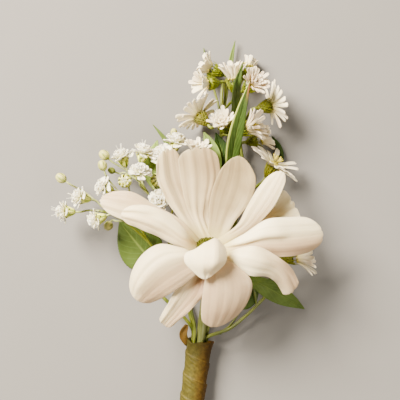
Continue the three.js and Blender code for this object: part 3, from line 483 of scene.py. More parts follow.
def leaf_look():
    """Blotched green with a pale rib and side veins. spot is rusty above 0 and a pale edge below."""
    look = Look("leaf_green", 0.5, specular=0.14, subsurface=0.08, depth=0.6)
    side, spot = look.math("ABSOLUTE", look.mark("across")), look.mark("spot")
    blotch = look.clouds(330.0, 4.0, 0.6)
    color = look.mix(look.mark("tone"), (0.012, 0.030, 0.003), (0.18, 0.26, 0.05))
    color = look.shade(color, look.step(blotch, 0.25, 0.75, 0.82, 1.22))
    slope = look.times(side, -VEIN_SLANT, look.mark("along"))
    bend = look.clouds(160.0, 2.0)
    waves = look.math("SINE", look.times(look.times(bend, 0.05, slope), SIDE_VEINS))
    veins = look.times(look.step(waves, 0.86, 1.0), look.step(side, 1.0, 0.75))
    rib = look.step(side, 0.085, 0.02)
    color = look.mix(look.times(veins, 0.3), color, (0.13, 0.21, 0.05))
    color = look.mix(look.times(rib, 0.5), color, (0.22, 0.29, 0.06))
    color = look.tint(color, (0.16, 0.055, 0.012), spot, 0.0, 1.0)
    color = look.tint(color, (0.34, 0.40, 0.08), spot, 0.0, -1.0)
    grooves = look.times(rib, -1.0, look.times(veins, -0.6))
    skin = look.clouds(1900.0, 2.0)
    return look.finish(color, look.times(skin, 0.35, grooves), 0.6, 0.12)


def stem_look(name, dark, light):
    look = Look(name, 0.42, specular=0.45, subsurface=0.1, depth=0.6)
    lines = look.streaks(6.0, 2.4)
    patches = look.clouds(260.0)
    share = look.times(lines, 0.6, look.times(patches, 0.5))
    return look.finish(look.tint(dark, light, share, 0.35, 0.75), lines, 0.5, 0.08)


def cup_look():
    """Bracts: a green rib and bright yellow-green edges. tone browns them."""
    look = Look("cup_green", 0.5, specular=0.2, subsurface=0.12, depth=0.6)
    across, along = look.mark("across"), look.mark("along")
    side = look.math("ABSOLUTE", across)
    color = look.tint((0.035, 0.065, 0.002), (0.20, 0.23, 0.005), side, 0.1, 0.7)
    color = look.tint(color, (0.06, 0.10, 0.005), along, 0.8, 1.0, 0.6)
    color = look.mix(look.times(look.mark("tone"), 0.8), color, (0.075, 0.05, 0.002))
    streaks = look.noise(look.vector(look.times(across, 7.0), along), 2.4)
    color = look.shade(color, look.step(streaks, 0.3, 0.7, 0.6, 1.3))
    grain = look.clouds(1500.0, 2.0)
    return look.finish(look.shade(color, look.step(grain, 0.3, 0.7, 0.8, 1.15)), grain, 0.4, 0.06)


def calyx_look(name, pale, green, lobes):
    """A striped calyx or bud: green ribs run from its foot towards its tip."""
    look = Look(name, 0.5, specular=0.4, subsurface=0.15, depth=0.6)
    along = look.mark("along")
    wobble = look.times(look.clouds(900.0, 2.0), 1.4)
    stripes = look.math("COSINE", look.times(look.mark("across"), lobes * np.pi, wobble))
    ribs = look.times(look.step(stripes, 0.0, 0.8), look.step(along, 1.0, 0.45))
    color = look.mix(ribs, pale, green)
    color = look.tint(color, green, along, 0.5, 0.05, 0.6)
    return look.finish(look.mix(look.mark("tone"), color, green), stripes, 0.3, 0.08)


def tape_look():
    """Waxed crepe paper: olive on one side, browner on the other, brighter down the handle."""
    look = Look("waxed_tape", 0.6, specular=0.13, subsurface=0.05, depth=0.5)
    turn, climb = look.mark("across"), look.mark("along")
    clouds = look.clouds(190.0, 4.0, 0.6)
    creases = look.noise(look.vector(look.times(turn, 1.6), look.times(climb, 14.0)), 2.2, 4.0, 0.65)
    side = look.times(look.math("SUBTRACT", clouds, 0.5), 1.3, turn)
    color = look.tint((0.042, 0.036, 0.005), (0.060, 0.029, 0.003), side, -0.4, 0.9)
    color = look.tint(color, (0.066, 0.058, 0.010), clouds, 0.5, 0.72, 0.5)
    color = look.tint(color, (0.12, 0.09, 0.022), look.mark("spot"), 0.3, 1.0, 0.15)
    color = look.shade(color, look.step(creases, 0.25, 0.75, 0.66, 1.25))
    color = look.shade(color, look.step(climb, 0.1, 0.3, 0.92, 1.3))
    return look.finish(color, look.times(clouds, 0.5, creases), 0.4, 0.2)


def floor_look():
    look = Look("pale_floor", 0.8, specular=0.2)
    grain = look.clouds(30.0)
    return look.finish(look.shade((0.19, 0.185, 0.178), look.step(grain, 0.3, 0.7, 0.985, 1.015)))


PETAL = petal_look()
RAY = plain_white_look("aster_white", (0.89, 0.81, 0.58), (0.54, 0.47, 0.12), (0.68, 0.54, 0.39))
FRILL = plain_white_look("breath_white", (0.90, 0.86, 0.68), (0.52, 0.56, 0.15), (0.78, 0.72, 0.47), 0.4)
# The last colour of each disc is painted shade in the gaps between its florets.
DISC = floret_look("disc_olive", (0.085, 0.085, 0.002), (0.04, 0.055, 0.001), (0.010, 0.014, 0.0005))
ASTER_DISC = floret_look("disc_yellow", (0.60, 0.50, 0.06), (0.38, 0.32, 0.02), (0.16, 0.14, 0.01))
LEAF = leaf_look()
STEM = stem_look("stem_green", (0.03, 0.05, 0.003), (0.19, 0.22, 0.010))
PALE_STEM = stem_look("stem_pale", (0.08, 0.10, 0.018), (0.19, 0.21, 0.055))
TWIG = stem_look("twig_pale", (0.20, 0.26, 0.05), (0.46, 0.48, 0.20))
CUP = cup_look()
CALYX = calyx_look("calyx_striped", (0.74, 0.76, 0.16), (0.17, 0.24, 0.010), 5)
BUD = calyx_look("bud_striped", (0.50, 0.48, 0.15), (0.15, 0.20, 0.012), 5)
TAPE = tape_look()


# The daisy

TILT = np.radians(DAISY_TILT)
AXIS = np.array([0, np.sin(TILT), np.cos(TILT)])
DAISY = {"at": (0, 0, 0), "face": AXIS}
OPEN_DISC = {"at": DISC_OFF, "face": AXIS}

# A petal's root is given by its angle round the disc: 0 is right, 90 up the arrangement. claw is
# half its width there, and seat how far out it starts. left and right are its edges as one looks
# out along it from the disc, and end at the corners of its tip, which is rounded over the share
# blunt of its length and notched by notch. Each x and y is as the eye sees it level with the disc,
# followed by the height. arch is how far the middle stands above the edges, as a share of the half
# width. Each crest is a fold: where it lies across, how tall it is, how wide on its left and
# right, and where along the petal it starts and ends. wave is how far the edges ripple and how
# often. blush is how far a petal turns peach at the root and at the tip, and how far that leans to
# the right: partly the petals' own blush and partly painted shade, strongest on the petals that lie
# back, droop or face away from the light. tan is how far that colour is olive tan, not pink.
PETALS = [
    dict(root=65, claw=2.3, seat=3, blunt=0.26, notch=0.006, arch=-0.12, wave=(0.1, 2),
         left=[(-0.4, 7.6, -3.8), (0.2, 14.2, -3.2), (2.2, 20, -2.2), (4.2, 25.2, -1)],
         right=[(7, 6.8, -3.4), (11.2, 12.2, -2.6), (12.9, 18.2, -1.6), (11.6, 25.2, -0.6)],
         crests=[(0.35, -0.35, 0.3, 0.3, 0.1, 0.9)], blush=(0.9, 1.05, 0.0), tan=1.0),
    dict(root=93, claw=2.5, seat=3, blunt=0.11, notch=0.02, arch=-0.1, wave=(0.2, 2),
         left=[(-5.4, 7.8, -4.9), (-7.2, 13.2, -4.3), (-8.4, 19.6, -3.4), (-9.2, 27, -2.2)],
         right=[(-0.2, 7.8, -5), (1.2, 13.2, -4.4), (3, 19.8, -3.6), (1.6, 28.4, -2.4)],
         crests=[(-0.3, 0.5, 0.16, 0.2, 0.1, 1.1), (0.3, 0.45, 0.2, 0.12, 0.1, 1.1),
                 (0.62, 0.4, 0.08, 0.12, 0.5, 1.2)], blush=(0.75, 0.9, 0.1), tan=0.8),
    dict(root=120, claw=1.7, seat=3, blunt=0.14, notch=0.02, arch=-0.08, wave=(0.25, 3),
         left=[(-9.2, 8.4, -3.4), (-12.4, 13.2, -2.9), (-14.8, 19, -2.2), (-15.2, 26.6, -1.8)],
         right=[(-3.6, 8, -5.6), (-5, 13.4, -5.6), (-7, 19.4, -5), (-8.6, 28.2, -4.2)],
         crests=[(-0.45, 0.5, 0.2, 0.25, 0.2, 1.1)], blush=(0.6, 0.72, 0.1), tan=0.5),
    dict(root=38, claw=1.5, seat=3.2, blunt=0.13, notch=0.006, arch=0.12, wave=(0.12, 2),
         left=[(7.5, 5.9, -0.9), (10.2, 10.9, -0.2), (13.4, 16.2, 0.4), (17.6, 21.4, 0.6)],
         right=[(11.4, 4.6, 0.4), (15.6, 8.2, 1.9), (19.1, 13, 2.7), (22.4, 20.6, 2.4)],
         crests=[(-0.6, 0.45, 0.14, 0.2, 0.15, 0.95)], blush=(0.75, 0.45, 0.15), tan=0.6),
    dict(root=14, claw=1.5, seat=3.4, blunt=0.05, notch=0.02, arch=-0.1, wave=(0.6, 3),
         left=[(8.8, 3.8, -2.6), (13, 8.2, -2.2), (17.4, 12.6, -1.8), (21.2, 16.4, -1.6)],
         right=[(9.6, 1.2, -2.8), (15.2, 2.8, -2.8), (20.6, 4.6, -2.6), (26.2, 7.6, -2.8)],
         crests=[(-0.2, 0.6, 0.2, 0.25, 0.3, 1.1)], blush=(0.1, 0.2, -0.05)),
    dict(root=350, claw=1.6, seat=3.4, blunt=0.16, notch=0.006, arch=0.14, wave=(0.2, 2),
         left=[(9.2, 3.2, 1.7), (15.8, 7.5, 3.7), (22.6, 8.1, 4), (31, 8.2, 2.8)],
         right=[(9.8, -2.4, 2.6), (15.6, -3, 2.4), (23, -2.8, 1.4), (32, -1, -0.6)],
         crests=[(-0.15, 1.0, 0.7, 0.15, 0.1, 0.68), (0.45, 0.3, 0.2, 0.2, 0.3, 1.0)],
         blush=(0.35, 0.5, 0.38)),
    dict(root=322, claw=1.7, blunt=0.04, notch=0.012, arch=0.22, wave=(0.35, 3),
         left=[(8, -0.6, 4.6), (13, 0, 6.8), (17.8, -2.2, 6.2), (22.6, -5.9, 4.2), (25.2, -10.8, 2)],
         right=[(6.4, -6.2, 5.2), (11, -8.2, 5.8), (16, -8.7, 5), (18.4, -10.2, 3), (20.8, -14.2, 0.8)],
         crests=[(-0.1, 0.8, 0.5, 0.5, 0.2, 0.56), (0.1, 0.5, 0.35, 0.35, 0.74, 1.1)],
         blush=(0.05, 0.75, -0.1)),
    dict(root=292, claw=1.8, blunt=0.13, notch=0.003, arch=0.16, wave=(0.1, 2),
         left=[(6.4, -4.6, 6.4), (11.6, -9.6, 6.4), (10.6, -15.6, 4.4), (5.6, -21.8, 0.8)],
         right=[(-0.8, -6.4, 6.2), (-1.9, -12, 6.2), (-2.5, -17.8, 4.4), (-2.2, -22.8, 1.6)],
         crests=[(0.45, 0.1, 0.25, 0.25, 0.3, 1.1)], blush=(0.72, 0.86, 0.0)),
    dict(root=266, claw=1.6, blunt=0.05, notch=0.0, arch=0.12, wave=(0.1, 2),
         left=[(3.2, -2.2, 6.2), (4.5, -1.3, 9.2), (4.3, -4.8, 10.4), (-0.5, -9.3, 9.6)],
         right=[(-3.4, -2.6, 6.2), (-6.6, -1.8, 9), (-7, -4.8, 9.8), (-2.5, -9.3, 9.4)],
         crests=[(-0.5, 2.7, 0.45, 0.65, 0.32, 0.84), (0.1, 0.4, 0.1, 0.3, 0.35, 0.95)],
         blush=(0.15, 0.28, -0.12)),
    dict(root=243, claw=1.5, blunt=0.05, notch=0.006, arch=-0.12, wave=(0.3, 3),
         left=[(-0.8, -8.8, 1.6), (-1.6, -13.6, 2), (-5.6, -18, 1.2), (-11.6, -23.6, -0.6)],
         right=[(-6.2, -8.4, 2), (-9.8, -12.4, 2.6), (-12, -16.4, 2), (-14.6, -20.8, 0.2)],
         crests=[(0.6, 0.4, 0.35, 0.35, 0.25, 1.1)], blush=(0.75, 0.6, -0.22)),
    dict(root=215, claw=1.8, blunt=0.09, notch=0.006, arch=0.18, wave=(0.12, 2),
         left=[(-3.2, -7, 4.4), (-6.4, -10.2, 4.6), (-10.6, -13, 4.2), (-14.6, -15.2, 2.8),
               (-18.4, -16.5, 0.8)],
         right=[(-8.2, -0.4, 3.8), (-14, 0.6, 5.2), (-18.8, -2.1, 5.4), (-22, -7.3, 4.2),
                (-22.9, -13.1, 1.8)],
         crests=[(0.2, 0.8, 0.34, 0.55, 0.15, 0.86), (0.62, 0.22, 0.12, 0.12, 0.2, 0.9),
                 (0.3, 0.14, 0.1, 0.1, 0.2, 0.9)], blush=(0.5, 0.56, -0.27)),
    dict(root=184, claw=1.6, seat=3.4, blunt=0.13, notch=0.01, arch=0.16, wave=(0.25, 3),
         left=[(-8.4, -0.4, 3), (-15, 2.8, 4.4), (-20.4, 5.1, 5), (-25.2, 7.2, 4.4)],
         right=[(-6.8, 4.4, 3.2), (-11.8, 9.2, 5.2), (-18.2, 11.5, 6), (-24.4, 11.2, 5.2)],
         crests=[(0.3, 0.6, 0.25, 0.3, 0.2, 0.6), (-0.2, 0.6, 0.3, 0.25, 0.45, 1.0),
                 (0.5, 0.5, 0.2, 0.3, 0.7, 1.1)], blush=(0.3, 0.35, -0.1)),
    dict(root=152, claw=1.5, seat=3.4, blunt=0.13, notch=0.01, arch=0.1, wave=(0.2, 2),
         left=[(-9.4, 4, -0.8), (-16.6, 6, 0.2), (-24, 7.2, 0.6), (-31.2, 10.4, -0.4)],
         right=[(-8, 7.2, -1.4), (-14.6, 11, -0.6), (-22, 15.2, 0), (-30.4, 15.2, -0.8)],
         crests=[(0.3, 0.6, 0.3, 0.3, 0.3, 0.95), (-0.3, 0.4, 0.2, 0.3, 0.4, 1.1)],
         blush=(0.45, 0.6, 0.12)),
]


def in_sight(points):
    """Points given as the eye sees them level with the disc, moved along its sight to their height."""
    points = np.asarray(points, float)
    flat = EYE[:2] + (points[:, :2] - EYE[:2]) * (1 - points[:, 2:] / EYE[2])
    return np.hstack([flat, points[:, 2:]])


def petal_surface(petal, layer, rise, notch):
    turn = np.radians(petal["root"])
    root = head_point(DAISY, petal.get("seat", ROOT_RADIUS), turn, RING_BOTTOM + 0.3 + 0.35 * layer)
    claw = petal["claw"] * head_way(DAISY, turn + np.pi / 2, 1, 0)
    left_edge = np.vstack([root + claw, in_sight(petal["left"])])
    right_edge = np.vstack([root - claw, in_sight(petal["right"])])

    def surface(u, v):
        rounded = petal["blunt"] * (1 - np.sqrt(np.maximum(1 - v * v, 0))) * u ** 2
        reach = u * (1 - rounded) + notch(u, v)
        left, left_way = curve(left_edge, reach)
        right, right_way = curve(right_edge, reach)
        across = right - left
        half = np.linalg.norm(across, axis=-1) / 2
        normal = unit(np.cross(across, left_way + right_way))
        up = petal["arch"] * half * (1 - v * v) + rise(u, v)
        return (left + right) / 2 + across * v[..., None] / 2 + normal * up[..., None]

    return surface


def petal_rise(petal, rng):
    """The folds, the fine lengthwise ridges and the rippled edges of a petal."""
    phases = rng.uniform(0, 2 * np.pi, 4)
    amount, count = petal["wave"]

    def rise(u, v):
        height = 0.0
        for at, tall, left_wide, right_wide, start, stop in petal["crests"]:
            inside = smoothstep(start - 0.12, start + 0.12, u) * (1 - smoothstep(stop - 0.1, stop + 0.1, u))
            wide = np.where(v < at, left_wide, right_wide)
            height = height + tall * inside * np.exp(-(((v - at) / wide) ** 2))
        grown = smoothstep(0.05, 0.4, u)
        height = height + 0.04 * grown * np.cos(4.5 * np.pi * v + phases[0])
        height = height + 0.018 * grown * np.cos(11 * np.pi * v + phases[1] + 2 * u)
        ripple = np.sin(2 * np.pi * count * u + phases[2] + np.sign(v) * phases[3])
        return height + amount * grown * np.abs(v) ** 3 * ripple

    return rise


# How far a petal turns to its blush colour at each point: partly its own peach blush and partly painted
# shade, set at the root and tip and leaning to one side where the light falls away.
def petal_blush_and_shade(root, tip, lean):
    def spot(u, v):
        blush_and_shade = root + (tip - root) * smoothstep(0.2, 0.9, u)
        return np.clip(blush_and_shade + lean * np.tanh(3 * v), 0, 1)
    return spot


def make_daisy_petals():
    rng = np.random.default_rng(11)
    for k, petal in enumerate(PETALS):
        surface = petal_surface(petal, k % 2, petal_rise(petal, rng), teeth(petal["notch"]))
        shape = Shape()
        add_blade(shape, surface, *PETAL_BLADE, petal_blush_and_shade(*petal["blush"]), tone=rng.uniform(0, 9),
                  tan=petal.get("tan", 0.0))
        shape.make(f"daisy_petal_{k + 1}", PETAL, ["daisy_petals"])


def make_daisy_disc():
    shape = Shape()
    base = RING_TOP + GAP
    core = [(0.02, base), (DISC_RADIUS * 0.94, base), (DISC_RADIUS * 0.85, base + 0.35),
            (DISC_RADIUS * 0.55, base + 0.8), (0.02, base + 1.15)]
    add_turned(shape, core, 40, OPEN_DISC)
    add_florets(shape, OPEN_DISC, 105, DISC_RADIUS * 0.93, base + 0.1, 1.2, 0.36)
    shape.make("daisy_disc_florets", DISC, ["daisy_disc"])


# The bundle in the tape

LEAN = np.radians(TAPE_LEAN)
DOWN = np.array([-np.sin(LEAN), -np.cos(LEAN), 0])
SIDE = np.array([np.cos(LEAN), -np.sin(LEAN), 0])
UP = np.array([0.0, 0, 1])
MOUTH = np.array([*TAPE_MOUTH, SURFACE + TAPE_FLAT])
DAISY_SLOT = (75, 1.25)  # its angle and its distance from the handle's axis


def in_handle(below, radius, angle):
    """Points of the handle: how far below its mouth, and how far from its axis at which angle,
    with 0 on its right and 90 on its upper side."""
    turn = np.radians(angle)
    below, radius, turn = np.broadcast_arrays(below, radius, turn)
    out = np.cos(turn)[..., None] * SIDE + np.sin(turn)[..., None] * UP
    return MOUTH + below[..., None] * DOWN + radius[..., None] * out


def bundled(angle, radius=BUNDLE_RADIUS):
    return [in_handle(below, radius, angle) for below in (TAPE_LENGTH + CUT_ENDS, TAPE_LENGTH / 2, 1)]


def make_daisy_stem():
    free = [(-2.2, -25, -13.4), (-1.9, -21.4, -12.6), (-1.2, -16, -11)]
    path = [*bundled(*DAISY_SLOT), *free, -9.4 * AXIS, -6.4 * AXIS, -3.4 * AXIS]
    stalk = Shape()
    add_rod(stalk, path, DAISY_STEM, DAISY_STEM, sides=24, steps=90, tone=0.4, ribs=0.035)
    stalk.make("daisy_stalk", PALE_STEM, ["daisy_stem"])

    calyx = Shape()
    top = RING_BOTTOM - GAP
    cup = [(0.02, top - 3.6), (1.3, top - 3.5), (2.4, top - 2.6), (3.2, top - 1.7), (3.9, top - 0.4),
           (3.6, top), (0.02, top)]
    add_turned(calyx, cup, 36, DAISY)
    rng = np.random.default_rng(5)
    for ring, (count, low, reach) in enumerate([(12, 3.3, 1.6), (14, 2.5, 2.6), (16, 1.6, 3.4)]):
        side = [(reach - 0.5, top - low), (reach + 0.5, top - low + 1), (reach + 1.1, top - low + 2)]
        for k in range(count):
            turn = 2 * np.pi * (k + 0.5 * (ring % 2) + 0.12 * rng.uniform(-1, 1)) / count
            add_bract(calyx, DAISY, turn, side, 1.7, bract_outline, BRACT_BLADE, lean=(0, 0.2))
    calyx.make("daisy_calyx", CUP, ["daisy_stem"])


def make_tape():
    steps, sides = 260, 96
    below = np.linspace(0, TAPE_LENGTH, steps + 1)[:, None]
    turn = np.arange(sides)[None, :] / sides
    climb = below / TAPE_PITCH + turn
    phase = climb - np.floor(climb)
    ridge = TAPE_RIDGE * (1 - phase) ** 2 * smoothstep(0, 0.035, phase)
    flare = 0.45 * np.exp(-below / 2.2)
    crinkle = 0.03 * np.sin(2 * np.pi * 3 * turn + 1.7 * below + 2 * np.sin(0.9 * below))
    wrinkle = np.sin(2 * np.pi * 7 * turn - 2.6 * below + np.sin(1.7 * below + 9 * turn))
    pull = 0.05 * np.sin(2 * np.pi * 5 * (climb * 1.2 + turn)) * (1 - phase)
    radius = TAPE_RADIUS - 0.15 + ridge + flare + crinkle + 0.015 * wrinkle + pull
    outside = in_handle(below, radius, 360 * turn)
    outside[..., 2] = np.maximum(outside[..., 2], SURFACE)
    inside = in_handle(below, TAPE_RADIUS - TAPE_WALL, 360 * turn)
    mouth_wave = 0.35 * np.sin(2 * np.pi * turn * 2 + 0.6) + 0.2 * np.sin(2 * np.pi * turn * 5)
    ragged = DOWN * (mouth_wave * np.exp(-below / 1.6))[..., None]
    grid = np.concatenate([outside - ragged, (inside - ragged)[::-1]])
    index = np.arange(grid.shape[0] * sides).reshape(-1, sides)
    index = np.hstack([index, index[:, :1]])
    index = np.vstack([index, index[:1]])
    along = np.concatenate([climb, climb[::-1]]) / 6
    across = np.broadcast_to(np.cos(2 * np.pi * turn), along.shape)
    edge = np.concatenate([(phase < 0.05) * 1.0, phase * 0])
    shape = Shape()
    shape.add(grid, [quads_of(index)[:, ::-1]], along=along, across=across, spot=edge)
    shape.make("tape", TAPE, ["tape_wrap"])

    path = [in_handle(1.6, TAPE_RADIUS - 0.2, 165), in_handle(-1.2, TAPE_RADIUS + 1.4, 165),
            in_handle(-4.4, TAPE_RADIUS + 1, 160)]
    surface = blade_surface(path, ((-0.3, 0, 1), (-0.2, 0, 1)), 2.6,
                            lambda u: np.sin(np.pi * (0.18 + 0.7 * u)), (0.5, 0.3),
                            rise=lambda u, v: 0.2 * np.sin(7 * u + 3 * v))
    flap = Shape()
    add_blade(flap, surface, *FLAP_BLADE, across=0.55)
    flap.make("tape_loose_end", TAPE, ["tape_wrap"])


# The sprays: the node that each stem replaces, the angle at which it lies in the handle, and its
# path and its twigs from there on.

SPRAYS = {
    "left_asters": dict(
        node="left_asters_stem", slot=255,
        stem=[(-3, -24.6, -16.5), (-2, -17, -15.4), (0, -4, -15.4), (2.6, 12, -16), (3.6, 26, -16.6),
              (3.4, 31, -15), (3.4, 38, -13.6)],
        twigs=[[(3.4, 36, -13.6), (4.8, 42, -15.6), (5.8, 50, -15.7)],
               [(3.4, 34, -13.8), (2.8, 40, -15.6), (1.2, 46, -15.9)]]),
    "right_asters": dict(
        node="right_asters_stem", slot=294,
        stem=[(-1.5, -24.6, -16.4), (0.8, -17, -15.2), (4.6, -3, -14.2), (8, 8, -14), (9, 20, -14.6),
              (9, 26.4, -15.2), (9.2, 33, -15.4), (9.4, 40, -15.4)],
        twigs=[[(9, 16, -14.4), (13, 16.6, -15.2), (17.6, 19.4, -15.4)]]),
    "low_aster": dict(
        node="low_aster_stem", slot=11,
        stem=[(-1.4, -27.8, -13.9), (0.2, -26.8, -13.9), (3, -25.9, -13.8), (6.2, -24.5, -13.7),
              (10.2, -21.3, -13.5), (13.8, -17.9, -13.1), (16.8, -14.6, -12.6)],
        twigs=[[(13.8, -17.9, -13.1), (12.8, -13, -11.4), (11, -10, -9.4)],
               [(3, -26.3, -13.8), (6, -23.8, -14.2), (8, -21, -14.3), (9.4, -18.8, -14.4)]]),
    "baby_breath": dict(
        node="babys_breath_stem", slot=137,
        stem=[(-4.3, -25, -13), (-5, -21, -12.6), (-6.4, -16.4, -11.8), (-11.4, -7.4, -10),
              (-17.4, 0.4, -9.8), (-24.6, 6.8, -9.2), (-28.6, 9, -9), (-31.6, 9.8, -8.4)],
        twigs=[[(-11.4, -7.4, -10), (-12.4, 5, -11), (-15.6, 10.4, -11.4), (-17.6, 14.4, -11.2),
                (-20.4, 18.4, -11.4)],
               [(-12.4, 5, -11), (-11, 9, -12), (-10.4, 14, -12.6), (-10.2, 22, -12.4)],
               [(-17.4, 0.4, -9.8), (-20, 5, -9.8), (-22, 10.4, -10), (-25, 14, -9.8)]]),
    "leaf_sprig": dict(
        node="leaf_sprig", slot=334,
        stem=[(-0.5, -24.6, -15.2), (1, -18, -13.4), (3, -6, -12.2), (5, 6, -11.4), (5.6, 16, -11.2),
              (6, 24, -11.6), (6.3, 34, -11.4)],
        twigs=[[(5.4, 12, -11.3), (4.6, 17.6, -12), (3.2, 22, -12.3)],
               [(5.2, 9, -11.3), (5.2, 16, -13), (4.3, 22.4, -13.9)]]),
    "broad_leaf": dict(
        node="broad_leaf", slot=176,
        stem=[(-5.1, -25, -14.4), (-7.6, -21.4, -14.2), (-11.4, -17.8, -14), (-14.8, -14, -13.8),
              (-16.6, -9.4, -13.8), (-16.3, -5.6, -13.8)],
        twigs=[]),
    "side_leaf": dict(
        node="side_leaf", slot=215,
        stem=[(-4.6, -25, -15.8), (-5.8, -21, -15.9), (-7.2, -16, -16.1), (-9.4, -8, -16.6),
              (-12, 3, -16), (-13.6, 11, -14.2), (-15.4, 17, -13.3)],
        twigs=[[(-13.4, 10, -14.4), (-12.6, 18, -15), (-12.2, 26, -14.4)]]),
}


# The leaves of each spray. peak is the share of its length where a leaf is widest, fold how far
# its halves fold up, tone how light its green is, and rust where its tip starts to brown.

LEAVES = {
    "left_asters": {
        "top": dict(path=[(5.8, 49, -15.6), (6.4, 54.4, -16), (7.6, 60, -16.2)],
                    face=(0.3, 0, 1), width=1.5, tone=0.6),
        "top_left": dict(path=[(1.4, 45.4, -16), (-0.8, 52, -17), (-1.7, 58, -17.1)],
                         face=(0.2, 0, 1), width=1.3, tone=0.6)},
    "right_asters": {
        "hooked": dict(path=[(17.5, 19, -15.4), (20.6, 24, -16), (20.4, 28.5, -16), (18.2, 32, -16.3)],
                       face=(0, 0.1, 1), width=2.2, tone=0.06)},
    "low_aster": {
        "low": dict(path=[(10, -9.4, -9.4), (15.4, -11.6, -9), (21.4, -15.2, -12.4), (28.2, -19.4, -17.2)],
                    face=(-0.15, -0.35, 1), width=6.4, peak=0.5, fold=0.2, tone=0.48),
        "low_dark": dict(path=[(9.2, -19.2, -14.4), (12, -15.6, -13.9), (14.4, -11.8, -13.4)],
                         face=(0.1, 0.2, 1), width=4.2, tone=0.16)},
    "leaf_sprig": {
        "lance": dict(path=[(5.8, 17.6, -11.2), (6.5, 25, -7.8), (7.6, 32, -1.8), (9.1, 38.6, 2),
                            (11.1, 46, 3.6)],
                      face=(-0.25, 0, 1), width=4.4, fold=0.35, tone=0.08, rust=0.75),
        "short_lance": dict(path=[(6.3, 32.6, -11.4), (7, 38, -9), (7.2, 42, -3.2), (7.6, 46, 1.8),
                                  (9.3, 51.4, 2.4)],
                            face=(0.4, 0, 1), width=3.3, fold=0.35, tone=0.2),
        "pale": dict(path=[(3.4, 21, -12.4), (1, 27, -12.4), (-1.7, 32.8, -13)],
                     face=(-0.1, 0.1, 1), width=4, peak=0.5, tone=0.72),
        # This leaf lies in the shade of the others: its darkest tone, 0.0, is painted shade.
        "dark": dict(path=[(4.4, 21, -13.8), (3.6, 27, -13.2), (1.8, 32.6, -13)],
                     face=(0.1, 0, 1), width=4.6, peak=0.45, tone=0.0)},
    "broad_leaf": {
        "broad": dict(path=[(-16.2, -5.8, -13.8), (-19.8, -1.6, -13.6), (-23.4, 2.8, -13.6),
                            (-26.5, 6.7, -14)],
                      face=(-0.1, 0.05, 1), width=13.2, peak=0.32, fold=0.12, tone=0.3)},
    "side_leaf": {
        "side": dict(path=[(-15.2, 15, -13.4), (-16.4, 20.6, -13), (-16.4, 25, -12.6), (-15.2, 30.4, -12.2)],
                     face=(-0.2, 0, 1), width=6, peak=0.45, tone=1.0),
        "side_narrow": dict(path=[(-12.2, 25, -14.4), (-12.8, 30, -14.4), (-16.6, 35, -14)],
                            face=(0.2, 0, 1), width=1.5, tone=0.46)},
}


def make_leaf(name, leaf, node, rng):
    broad = leaf["width"] > 5
    phase = rng.uniform(0, 6)
    peak = leaf.get("peak", 0.42)
    fold = leaf.get("fold", 0.25)

    def rise(u, v):
        sway = 0.03 * leaf["width"] * v ** 2 * np.sin(9 * u + phase + 2 * np.sign(v))
        quilt = np.cos(SIDE_VEINS * (u - VEIN_SLANT * np.abs(v))) * np.sin(np.pi * np.abs(v))
        return sway + 0.05 * broad * quilt - 0.16 * np.exp(-((v / 0.07) ** 2))

    def outline(u):
        swell = (np.maximum(u, 1e-6) / peak) ** (peak / (1 - peak)) * (1 - u) / (1 - peak)
        saw = 0.035 * broad * np.abs((u * 26) % 1 - 0.5) * 2
        return np.maximum(0.03, swell) * (1 - saw)

    def spot(u, v):
        if "rust" not in leaf:
            return u * 0
        left = -smoothstep(0.62, 0.95, v) * smoothstep(0.1, 0.3, u)
        right = smoothstep(leaf["rust"], 1, u) * smoothstep(0.5, -0.6, v)
        return left * (right < 0.2) + right

    surface = blade_surface(leaf["path"], (leaf["face"], leaf["face"]), leaf["width"], outline,
                            (fold, fold), 0.15, rise)
    shape = Shape()
    add_blade(shape, surface, *LEAF_BLADE, spot, tone=leaf["tone"])
    shape.make(f"leaf_{name}", LEAF, [node])


# The asters. at is the top of the green cup, reach the length of a ray from the middle, lift how
# far the rays rise in degrees, count how many there are and width how wide each is, mess how
# unevenly they stand, inner how many short rays stand over the disc, blush how pink they are, via
# the way of the stalk, warm how brown the cup is, and threads how many stamens stand out.

